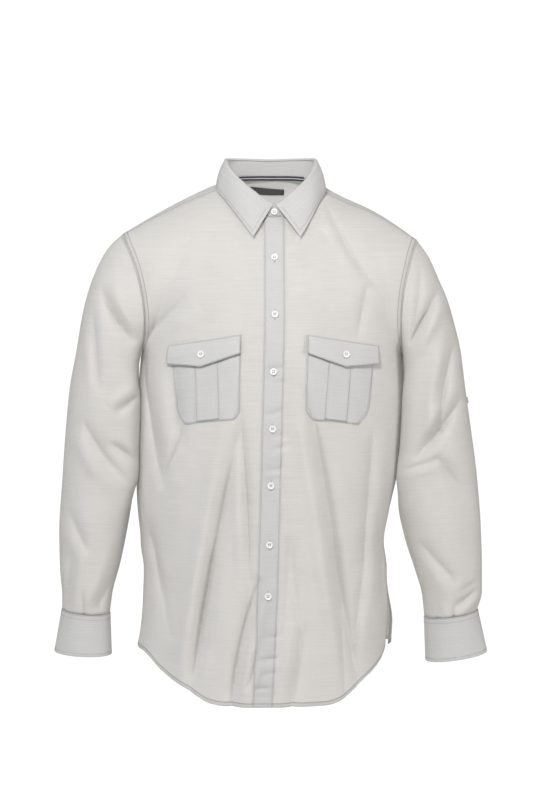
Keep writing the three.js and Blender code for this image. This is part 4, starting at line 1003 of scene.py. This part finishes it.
for side, label in LABELS.items():
    rings = ring_steps(side, GRAIN_DOWN)
    betas = steps(0, 360, 2.4)
    patch = Patch(sleeve(side, rings[:, None], betas[None, :]), -side, *CLOTH, wrap=True)
    patch.weave[..., 0] = betas * MEAN_GIRTH / 360
    patch.weave[..., 1] = side * patch.points[..., 0] * GRAIN_SLOPE - patch.points[..., 2]
    name = build_sheet("sleeve_" + label, "cloth", patch)
    sew(name, patch.at(0.5, np.arange(0, len(betas) - 1, 0.5)))

    rings = np.interp(steps(0, 1, 0.05), [0, 1], SLIT_RINGS)
    betas = steps(*SLIT_BETAS, 2.0)
    patch = Patch(sleeve(side, rings[:, None], betas[None, :]), -side, *WALLS["sleeve_placket"])
    name = build_sheet("sleeve_placket_" + label, "cloth_double", patch)
    for column in (0.8, len(betas) - 1.8):
        sew(name, patch.at(np.arange(0.3, len(rings) - 1.2, 0.5), column))

    downs = edged(1, 0.045, 0.01, 0.03)
    turns = steps(0, 360 + CUFF_AHEAD, 2.0)
    edge = np.minimum(downs, 1 - downs)[:, None] * CUFF_TALL
    soft = 0.25 * (1 - smoothstep(0, 1.6, edge))
    points = cuff(side, downs[:, None], turns[None, :])
    low, high = WALLS["cuff"]
    # Painted shade along the cuff's top and bottom edges.
    patch = Patch(points, -side, low + soft, high - soft, shade=0.3 * bell(edge, 0.9))
    name = build_sheet("cuff_" + label, "cloth_double", patch)
    for row in np.interp(CUFF_STITCHES, downs, range(len(downs))):
        sew(name, patch.at(row, np.arange(2, len(turns) - 3, 0.5)))
    sew(name, patch.at(np.arange(1.5, len(downs) - 2.5, 0.5), len(turns) - 3.0))
    hole = np.interp(0.5, downs, range(len(downs)))
    for off in (-0.35, 0.35):
        sew(name, patch.at(hole + off, np.linspace(len(turns) - 9.5, len(turns) - 3.6, 12)), HOLE_PITCH)

# The collar

angles = np.concatenate([[-191, -190, -187, -184], steps(-180, 180, 2.4), [184, 187, 190, 191]])
ups = edged(1, 0.08, 0.04)
patch = Patch(stand(angles[None, :], ups[:, None]), -1, *WALLS["collar_stand"])
name = build_sheet("collar_stand", "cloth_double", patch)
sew(name, patch.at(1.6, np.arange(2, len(angles) - 2, 0.5)))

EDGE_STITCH = 6.0           # how far the leaf's stitches run from its edge
ends = np.array([LEAF_END, LEAF_END - 0.6])
angles = np.concatenate([-ends, steps(1.4 - LEAF_END, LEAF_END - 1.4, 2.0), ends[::-1]])
downs = np.concatenate(
    [np.linspace(0, ROLL_SHARE, 9), np.linspace(ROLL_SHARE, 1, 24)[1:-1], [0.985, 1]])
patch = Patch(leaf(angles[None, :], downs[:, None]), 1, *WALLS["collar_leaf"])
to_edge = np.minimum(patch.v[-1] - patch.v, np.minimum(patch.u, patch.u[:, -1:] - patch.u))
# Painted shade along the leaf's edges, in the weave's third part.
patch.weave[..., 2] = 0.25 * bell(to_edge, 1.0)
name = build_sheet("collar_leaf", "cloth_double", patch)
every_row, every_column = np.arange(len(downs)), np.arange(len(angles))
row_at = np.array([np.interp(lengths[-1] - EDGE_STITCH, lengths, every_row) for lengths in patch.v.T])
column_at = np.array([np.interp(lengths[-1] - EDGE_STITCH, lengths, every_column) for lengths in patch.u])
front_rows = np.arange(11, len(downs) - 3.4, 0.5)
front_columns = np.interp(front_rows, every_row, column_at)
last = len(angles) - 1
sew(name, patch.at(front_rows, front_columns))
sew(name, patch.at(front_rows, last - front_columns))
columns = np.arange(last - front_columns[-1], front_columns[-1], 0.5)
sew(name, patch.at(np.interp(columns, every_column, row_at), columns))


def tape_at(theta, height):
    x, y, z, lean = neck_point(theta)
    foot = joined(x + lean, y, z)
    rise = unit(stand(theta, np.ones(np.shape(theta))) - foot)
    return foot + rise * np.asarray(height)[..., None]


TAPE_TURN, TAPE_HALF = 48, 3.4
LABEL_RIGHT, LABEL_LEFT = -31.4, 23
thetas, heights = np.meshgrid(steps(-TAPE_TURN, TAPE_TURN, 2.4), steps(-TAPE_HALF, TAPE_HALF, 0.8))
patch = Patch(tape_at(thetas, heights), -1, *WALLS["neck_tape"], v=heights)
build_sheet("neck_tape", "tape", patch)
across_label, down = np.meshgrid(steps(LABEL_RIGHT, LABEL_LEFT, 2.5), steps(0, 1, 0.16))
label_rows = ROW_NAPE + mix(15.9 + 0.083 * across_label, 26.2 + 0.017 * across_label, down)
label_rows = label_rows - 7.05 * np.abs(across_label / LABEL_RIGHT) ** 1.35
patch = Patch(body_at(across_label, label_rows), 1, *WALLS["label"])
build_sheet("label", "label", patch)

# Pockets, their pleats and their flaps: distances from the placket's middle, and heights

POCKET = Table(
    "row in_d in_z out_d out_z",
    (0, 50, -248, 154, -265), (1, 50, -300, 150, -312), (2, 50, -348, 145.5, -356),
    (3, 58, -366, 130, -375))
PLEAT = Table("row in_d in_z out_d out_z", (0, 84.5, -268, 118, -273), (1, 79.5, -366.5, 113, -371.5))
FLAP_IN, FLAP_OUT, FLAP_TOP_IN, FLAP_TOP_OUT = 50, 159, -239, -257
FLAP_POINT = 0.53          # where a flap hangs lowest, on its way out
FLAP_BOTTOM = ((0, -267), (FLAP_POINT, -288), (1, -285))
FLAP_LIFT = Table("down lift", (0, 2.2), (0.25, 4.2), (0.6, 6), (1, 7))


def laid(side, distance, z, lift):
    """Places at a height over a front, with the directions square to it."""
    distance, z = alike(distance, z)
    base = front_at(side * distance, z)
    across = front_at(side * (distance + 1), z) - front_at(side * (distance - 1), z)
    upwards = front_at(side * distance, z + 1) - front_at(side * distance, z - 1)
    normal = unit(np.cross(across, upwards)) * side
    return base + normal * np.broadcast_to(lift, distance.shape)[..., None], normal


def flap_ends(u):
    """A flap's top and bottom heights, on its way out."""
    return mix(FLAP_TOP_IN, FLAP_TOP_OUT, u), np.interp(u, *zip(*FLAP_BOTTOM))


def flap_lift(distance, z):
    top, bottom = flap_ends((distance - FLAP_IN) / (FLAP_OUT - FLAP_IN))
    return FLAP_LIFT("lift", (top - z) / (top - bottom))


def inset(corners, distance):
    """A convex outline drawn in from another, corner by corner."""
    corners = np.asarray(corners, float)
    after = np.roll(corners, -1, axis=0)
    along = unit(after - corners)
    middle = corners.mean(axis=0)
    square = joined(-along[:, 1], along[:, 0])
    square *= np.sign(((middle - corners) * square).sum(axis=1))[:, None]
    moved = corners + square * distance
    result = []
    for i in range(len(corners)):
        a, d = moved[i - 1], along[i - 1]
        b, e = moved[i], along[i]
        turn = d[0] * e[1] - d[1] * e[0]
        straight = abs(turn) < 0.01
        t = 0 if straight else ((b[0] - a[0]) * e[1] - (b[1] - a[1]) * e[0]) / turn
        result.append(b if straight else a + d * t)
    return np.array(result)


def dense(corners, spacing=2.0, closed=False):
    """Points along an outline, with its corners."""
    corners = np.asarray(corners, float)
    if closed:
        corners = np.concatenate([corners, corners[:1]])
    lengths = lengths_along(corners)
    at = np.unique(np.concatenate([steps(0, lengths[-1], spacing), lengths]))
    return joined(*[np.interp(at, lengths, corners[:, k]) for k in range(2)])


def sew_laid(piece, side, corners, lift, closed=False, pitch=PITCH):
    path = dense(corners, closed=closed)
    high = lift(path[:, 0], path[:, 1]) if callable(lift) else lift
    sew(piece, laid(side, path[:, 0], path[:, 1], high), pitch)


RUMPLE, BESIDE_IN, BESIDE_OUT = 0.6, (80, 74), (118, 124)


def rumple(distance, z):
    """How far a pocket puffs out beside its pleat."""
    beside = smoothstep(*BESIDE_IN, distance) + smoothstep(*BESIDE_OUT, distance)
    swell = np.sin(distance / 4.1 + z / 9.5) * np.sin(z / 6.3 - distance / 11)
    return RUMPLE * beside * (2 + swell + np.sin(z / 14 + distance / 8)) / 2


def rim_painted_shade(u, v, wide, tall, depth):
    """Paints shade on the edges of a piece whose places run from 0 to 1 both ways."""
    to_edge = np.minimum(np.minimum(u, 1 - u) * wide, np.minimum(v, 1 - v) * tall)
    return depth * bell(to_edge, 1.1)


def placed(table, u, v):
    """Distances and heights inside an outline, from its inner and outer ends."""
    return [mix(table("in_" + key, v), table("out_" + key, v), u) for key in "dz"]


FLAP_ACROSS = np.concatenate(
    [[0, 0.01], steps(0.03, FLAP_POINT, 0.03), steps(FLAP_POINT, 0.97, 0.03)[1:], [0.99, 1]])
for side, label in LABELS.items():
    u, v = np.meshgrid(edged(1, 0.03, 0.01), edged(3, 0.08, 0.03))
    d, z = placed(POCKET, u, v)
    points, _ = laid(side, d, z, rumple(d, z))
    # Painted shade along the edges of the pocket, its pleat and its flap.
    patch = Patch(points, -side, *WALLS["pocket"], shade=rim_painted_shade(u, v / 3, 104, 115, 0.3))
    name = build_sheet("pocket_" + label, "cloth_double", patch)
    corners = [(POCKET("in_d", k), POCKET("in_z", k)) for k in (0, 1, 2, 3)]
    corners += [(POCKET("out_d", k), POCKET("out_z", k)) for k in (3, 2, 1, 0)]
    sew_laid(name, side, inset(corners, 1.6), lambda a, b: WALLS["pocket"][1] + rumple(a, b))

    u, v = np.meshgrid(edged(1, 0.1, 0.03), steps(0, 1, 0.03))
    points, _ = laid(side, *placed(PLEAT, u, v), 0)
    patch = Patch(points, -side, *WALLS["pocket_pleat"], shade=rim_painted_shade(u, 0.5, 33, 200, 0.35))
    name = build_sheet("pocket_pleat_" + label, "cloth_double", patch)
    sew(name, patch.at(v.shape[0] - 1.5, np.arange(0, v.shape[1] - 1, 0.5)))

    u, v = np.meshgrid(FLAP_ACROSS, edged(1, 0.06, 0.03))
    points, _ = laid(side, mix(FLAP_IN, FLAP_OUT, u), mix(*flap_ends(u), v), FLAP_LIFT("lift", v))
    patch = Patch(points, -side, *WALLS["flap"], shade=rim_painted_shade(u, v, 109, 28, 0.3))
    name = build_sheet("flap_" + label, "cloth_double", patch)
    corners = [(FLAP_IN, FLAP_TOP_IN), (FLAP_OUT, FLAP_TOP_OUT)]
    corners += [(mix(FLAP_IN, FLAP_OUT, u), z) for u, z in reversed(FLAP_BOTTOM)]
    face = WALLS["flap"][1]
    sew_laid(name, side, inset(corners, 1.4), lambda a, b: flap_lift(a, b) + face, closed=True)

# Buttons, with four holes and the thread that ties them on

BUTTON_RADIUS, BUTTON_THICK, BUTTON_RIM, BUTTON_DISH = 5.4, 2.4, 0.9, 0.7
HOLE_RADIUS, HOLE_OUT = 0.85, 1.7
BUTTON_SIDES = 40


def turned(profile, sides):
    """A closed turned body round Z from (radius, height) pairs that start and end on the axis."""
    bm = bmesh.new()
    rings = []
    for radius, height in profile:
        if radius == 0:
            rings.append([bm.verts.new((0, 0, height * MM))])
            continue
        turns = [2 * math.pi * k / sides for k in range(sides)]
        places = [(radius * math.cos(a), radius * math.sin(a), height) for a in turns]
        rings.append([bm.verts.new([value * MM for value in place]) for place in places])
    for low, high in zip(rings, rings[1:]):
        for k in range(sides):
            n = (k + 1) % sides
            corners = [low[k % len(low)], low[n % len(low)], high[n % len(high)], high[k % len(high)]]
            face = bm.faces.new(list(dict.fromkeys(corners)))
            face.smooth = True
    bmesh.ops.recalc_face_normals(bm, faces=bm.faces)
    mesh = bpy.data.meshes.new("turned")
    bm.to_mesh(mesh)
    bm.free()
    return mesh


def button_mesh():
    r, t, rim, dish = BUTTON_RADIUS, BUTTON_THICK, BUTTON_RIM, BUTTON_DISH
    profile = [
        (0, 0), (r * 0.78, 0), (r * 0.93, t * 0.2), (r, t * 0.5), (r * 0.985, t * 0.75),
        (r - rim * 0.5, t * 0.97), (r - rim, t), (r - rim * 1.5, t * 0.95), (r - rim * 2.1, t - dish),
        (r * 0.3, t - dish * 1.1), (0, t - dish * 1.1)]
    disc = bpy.data.objects.new("disc", turned(profile, BUTTON_SIDES))
    bpy.context.collection.objects.link(disc)
    drills = []
    for k in range(4):
        turn = math.pi / 4 + k * math.pi / 2
        bore = turned([(0, -1), (HOLE_RADIUS, -1), (HOLE_RADIUS, 4), (0, 4)], 14)
        drill = bpy.data.objects.new("drill", bore)
        drill.location = (HOLE_OUT * math.cos(turn) * MM, HOLE_OUT * math.sin(turn) * MM, 0)
        bpy.context.collection.objects.link(drill)
        drills.append(drill)
        cut = disc.modifiers.new("hole", "BOOLEAN")
        cut.operation = "DIFFERENCE"
        cut.object = drill
        cut.solver = "EXACT"
    bpy.context.view_layer.update()
    mesh = bpy.data.meshes.new_from_object(disc.evaluated_get(bpy.context.evaluated_depsgraph_get()))
    for obj in [disc, *drills]:
        bpy.data.objects.remove(obj)
    return mesh


button_master = button_mesh()
TIE_LONG = 0.75


def place_button(name, point, normal, lift):
    """A button on a piece, with two bars of thread over its holes."""
    mesh = button_master.copy()
    mesh.materials.clear()
    obj = add_object("shape_" + name, mesh, "button", replaces=[name])
    turn = Vector((0, 0, 1)).rotation_difference(Vector(normal))
    obj.rotation_mode = "QUATERNION"
    obj.rotation_quaternion = turn
    where = Vector(((point + normal * lift) * MM).tolist())
    obj.location = where
    height = BUTTON_THICK - BUTTON_DISH * 1.1 + 0.02
    up = np.array(turn @ Vector((0, 0, 1)))
    for off in (-HOLE_OUT * 0.707, HOLE_OUT * 0.707):
        ends = [Vector((off, end, height)) * MM for end in (-TIE_LONG, 0, TIE_LONG)]
        line = np.array([(turn @ end + where) / MM for end in ends])
        ties.append((line, np.repeat(up[None], 3, axis=0), 2 * TIE_LONG))


def normal_of(surface, u, v, sign, step_u, step_v):
    """The direction square to a surface at one place."""
    along_u = surface(u + step_u, v) - surface(u - step_u, v)
    along_v = surface(u, v + step_v) - surface(u, v - step_v)
    return unit(np.cross(along_u, along_v)) * sign


TOP_BUTTON_UP, FLAP_BUTTON = 0.42, ([107.8], [-269.5])
TAB_RING, TAB_BETAS = 6.25, {1: 184.0, -1: 206.0}
HOLE_HALF_LONG, HOLE_HALF_WIDE, HOLE_LIFT, HOLE_POINTS = 8.6, 0.8, 2.3, 24
BUTTON_HEIGHTS = (-53.5, -123.3, -208, -294.8, -380.5, -466.8, -556.6, -635.2)
BACKS = {"stand": 1.75, "placket": 2.5, "flap": 7.0, "cuff": 2.15, "tab": 1.5}
ties = []
places = []
for number, z in enumerate(BUTTON_HEIGHTS, 1):
    name = f"button_{number}"
    if z > PIT_Z:
        normal = normal_of(stand, 180.0, TOP_BUTTON_UP, -1, 0.5, 0.01)
        places.append((name, stand(180.0, TOP_BUTTON_UP), normal, BACKS["stand"]))
    else:
        row = z - HEM_Z
        normal = normal_of(body_at, 0.0, row, 1, 1, 0.5)
        places.append((name, body_at(0.0, row), normal, BACKS["placket"]))
        rows_hole = row + np.linspace(-HOLE_HALF_LONG, HOLE_HALF_LONG, HOLE_POINTS)
        for off in (-HOLE_HALF_WIDE, HOLE_HALF_WIDE):
            line = body_at(np.full(HOLE_POINTS, off), rows_hole) + normal * HOLE_LIFT
            sew("cloth_placket", (line, np.repeat(normal[None], HOLE_POINTS, axis=0)), HOLE_PITCH)
for side, label in LABELS.items():
    point, normal = laid(side, *FLAP_BUTTON, 0)
    places.append((f"button_flap_{label}", point[0], normal[0], BACKS["flap"]))
    turn = 360 + CUFF_AHEAD / 2

    def round_cuff(turn, down):
        return cuff(side, down, turn)

    def arm(beta, ring):
        return sleeve(side, ring, beta)
    normal = normal_of(round_cuff, turn, 0.5, -side, 0.5, 0.01)
    places.append((f"button_cuff_{label}", round_cuff(turn, 0.5), normal, BACKS["cuff"]))
    beta = TAB_BETAS[side]
    normal = normal_of(arm, beta, TAB_RING, -side, 0.5, 0.02)
    places.append((f"button_tab_{label}", arm(beta, TAB_RING), normal, BACKS["tab"]))
for place in places:
    place_button(*place)

build_threads("cloth_double", thread)
seams.clear()
seams["buttons"] = ties
build_threads("button", tie_white)

# What each sheet was cut to: its width, length and area, worked out in turn and not kept

SMALLEST_CUT, SMALLEST_SHARE, JUST_UNDER = 0.01, 0.31, 0.9999
STRIPS = ("cloth_placket", "cloth_button_stand")   # one width all the way, and slanting at the neck
for name, patches in patches_of.items():
    across = np.min if name in STRIPS else np.max
    wide = round(max(sum(across(patch.u[:, -1]) for patch in patches) * MM, SMALLEST_CUT), 4)
    long = round(max(max(patch.v[-1].max() for patch in patches) * MM, SMALLEST_CUT), 4)
    area = sum(patch.flat_area() for patch in patches) * MM * MM
    area = min(max(area, SMALLEST_SHARE * wide * long), wide * long)

# The camera, the light and the floor

CAMERA_AT, CAMERA_DOWN = (-0.005, -3.6, -0.051), 4.83    # metres, and degrees below level

camera_data = bpy.data.cameras.new("camera")
camera_data.lens = 101.0
camera_data.sensor_width = 36.0
camera_data.clip_end = 50
camera = bpy.data.objects.new("camera", camera_data)
camera.location = CAMERA_AT
camera.rotation_euler = (math.radians(90 - CAMERA_DOWN), 0, 0)
bpy.context.collection.objects.link(camera)
bpy.context.scene.camera = camera


def area_light(name, location, target, size, energy, color):
    data = bpy.data.lights.new(name, "AREA")
    data.shape = "DISK"
    data.size = size
    data.energy = energy
    data.color = color
    light = bpy.data.objects.new(name, data)
    light.location = location
    aim = Vector(target) - Vector(location)
    light.rotation_euler = aim.to_track_quat("-Z", "Y").to_euler()
    bpy.context.collection.objects.link(light)
    return light


area_light("key", (-0.5, -2.3, 1.3), (0, 0, -0.15), 0.7, 50, (1, 0.99, 0.98))
area_light("left", (-2.5, -1.6, 0.0), (0, 0, -0.5), 0.9, 11, (0.97, 0.99, 1))
area_light("right", (2.4, -1.8, -0.1), (0, 0, -0.5), 0.9, 25, (1, 0.955, 0.92))
# A small light behind the top button lifts the inside of the neck, as the photograph shows it
neck_light = area_light("neck", (0, -0.1, -0.09), (0, 0, -0.005), 0.05, 0.04, (1, 0.98, 0.96))
neck_light.visible_camera = False
area_light("behind", (0.0, 2.6, -0.2), (0, 0, -0.5), 2.2, 44, (1, 0.98, 0.95))

world = bpy.data.worlds.new("studio")
bpy.context.scene.world = world
world.use_nodes = True
sky = world.node_tree.nodes["Background"]
sky.inputs["Color"].default_value = (1, 1, 1, 1)
seen = world.node_tree.nodes.new("ShaderNodeLightPath")
level = world.node_tree.nodes.new("ShaderNodeMapRange")
level.inputs["To Min"].default_value = 0.33
level.inputs["To Max"].default_value = 0.95
world.node_tree.links.new(seen.outputs["Is Camera Ray"], level.inputs["Value"])
world.node_tree.links.new(level.outputs["Result"], sky.inputs["Strength"])

floor_mesh = bpy.data.meshes.new("floor")
bm = bmesh.new()
bmesh.ops.create_circle(bm, cap_ends=True, segments=96, radius=1.2)
bm.to_mesh(floor_mesh)
bm.free()
floor = bpy.data.objects.new("floor", floor_mesh)
floor.location = (0, 0, -1.45)
bpy.context.collection.objects.link(floor)
paper = plain_material("floor_paper", (0.78, 0.78, 0.78), (0.82, 0.82, 0.82), 0.9, 4, 0.1)
floor_mesh.materials.append(paper)

view = bpy.context.scene.view_settings
view.view_transform = "Standard"
view.look = "None"
view.exposure = 0.15
view.gamma = 1.0
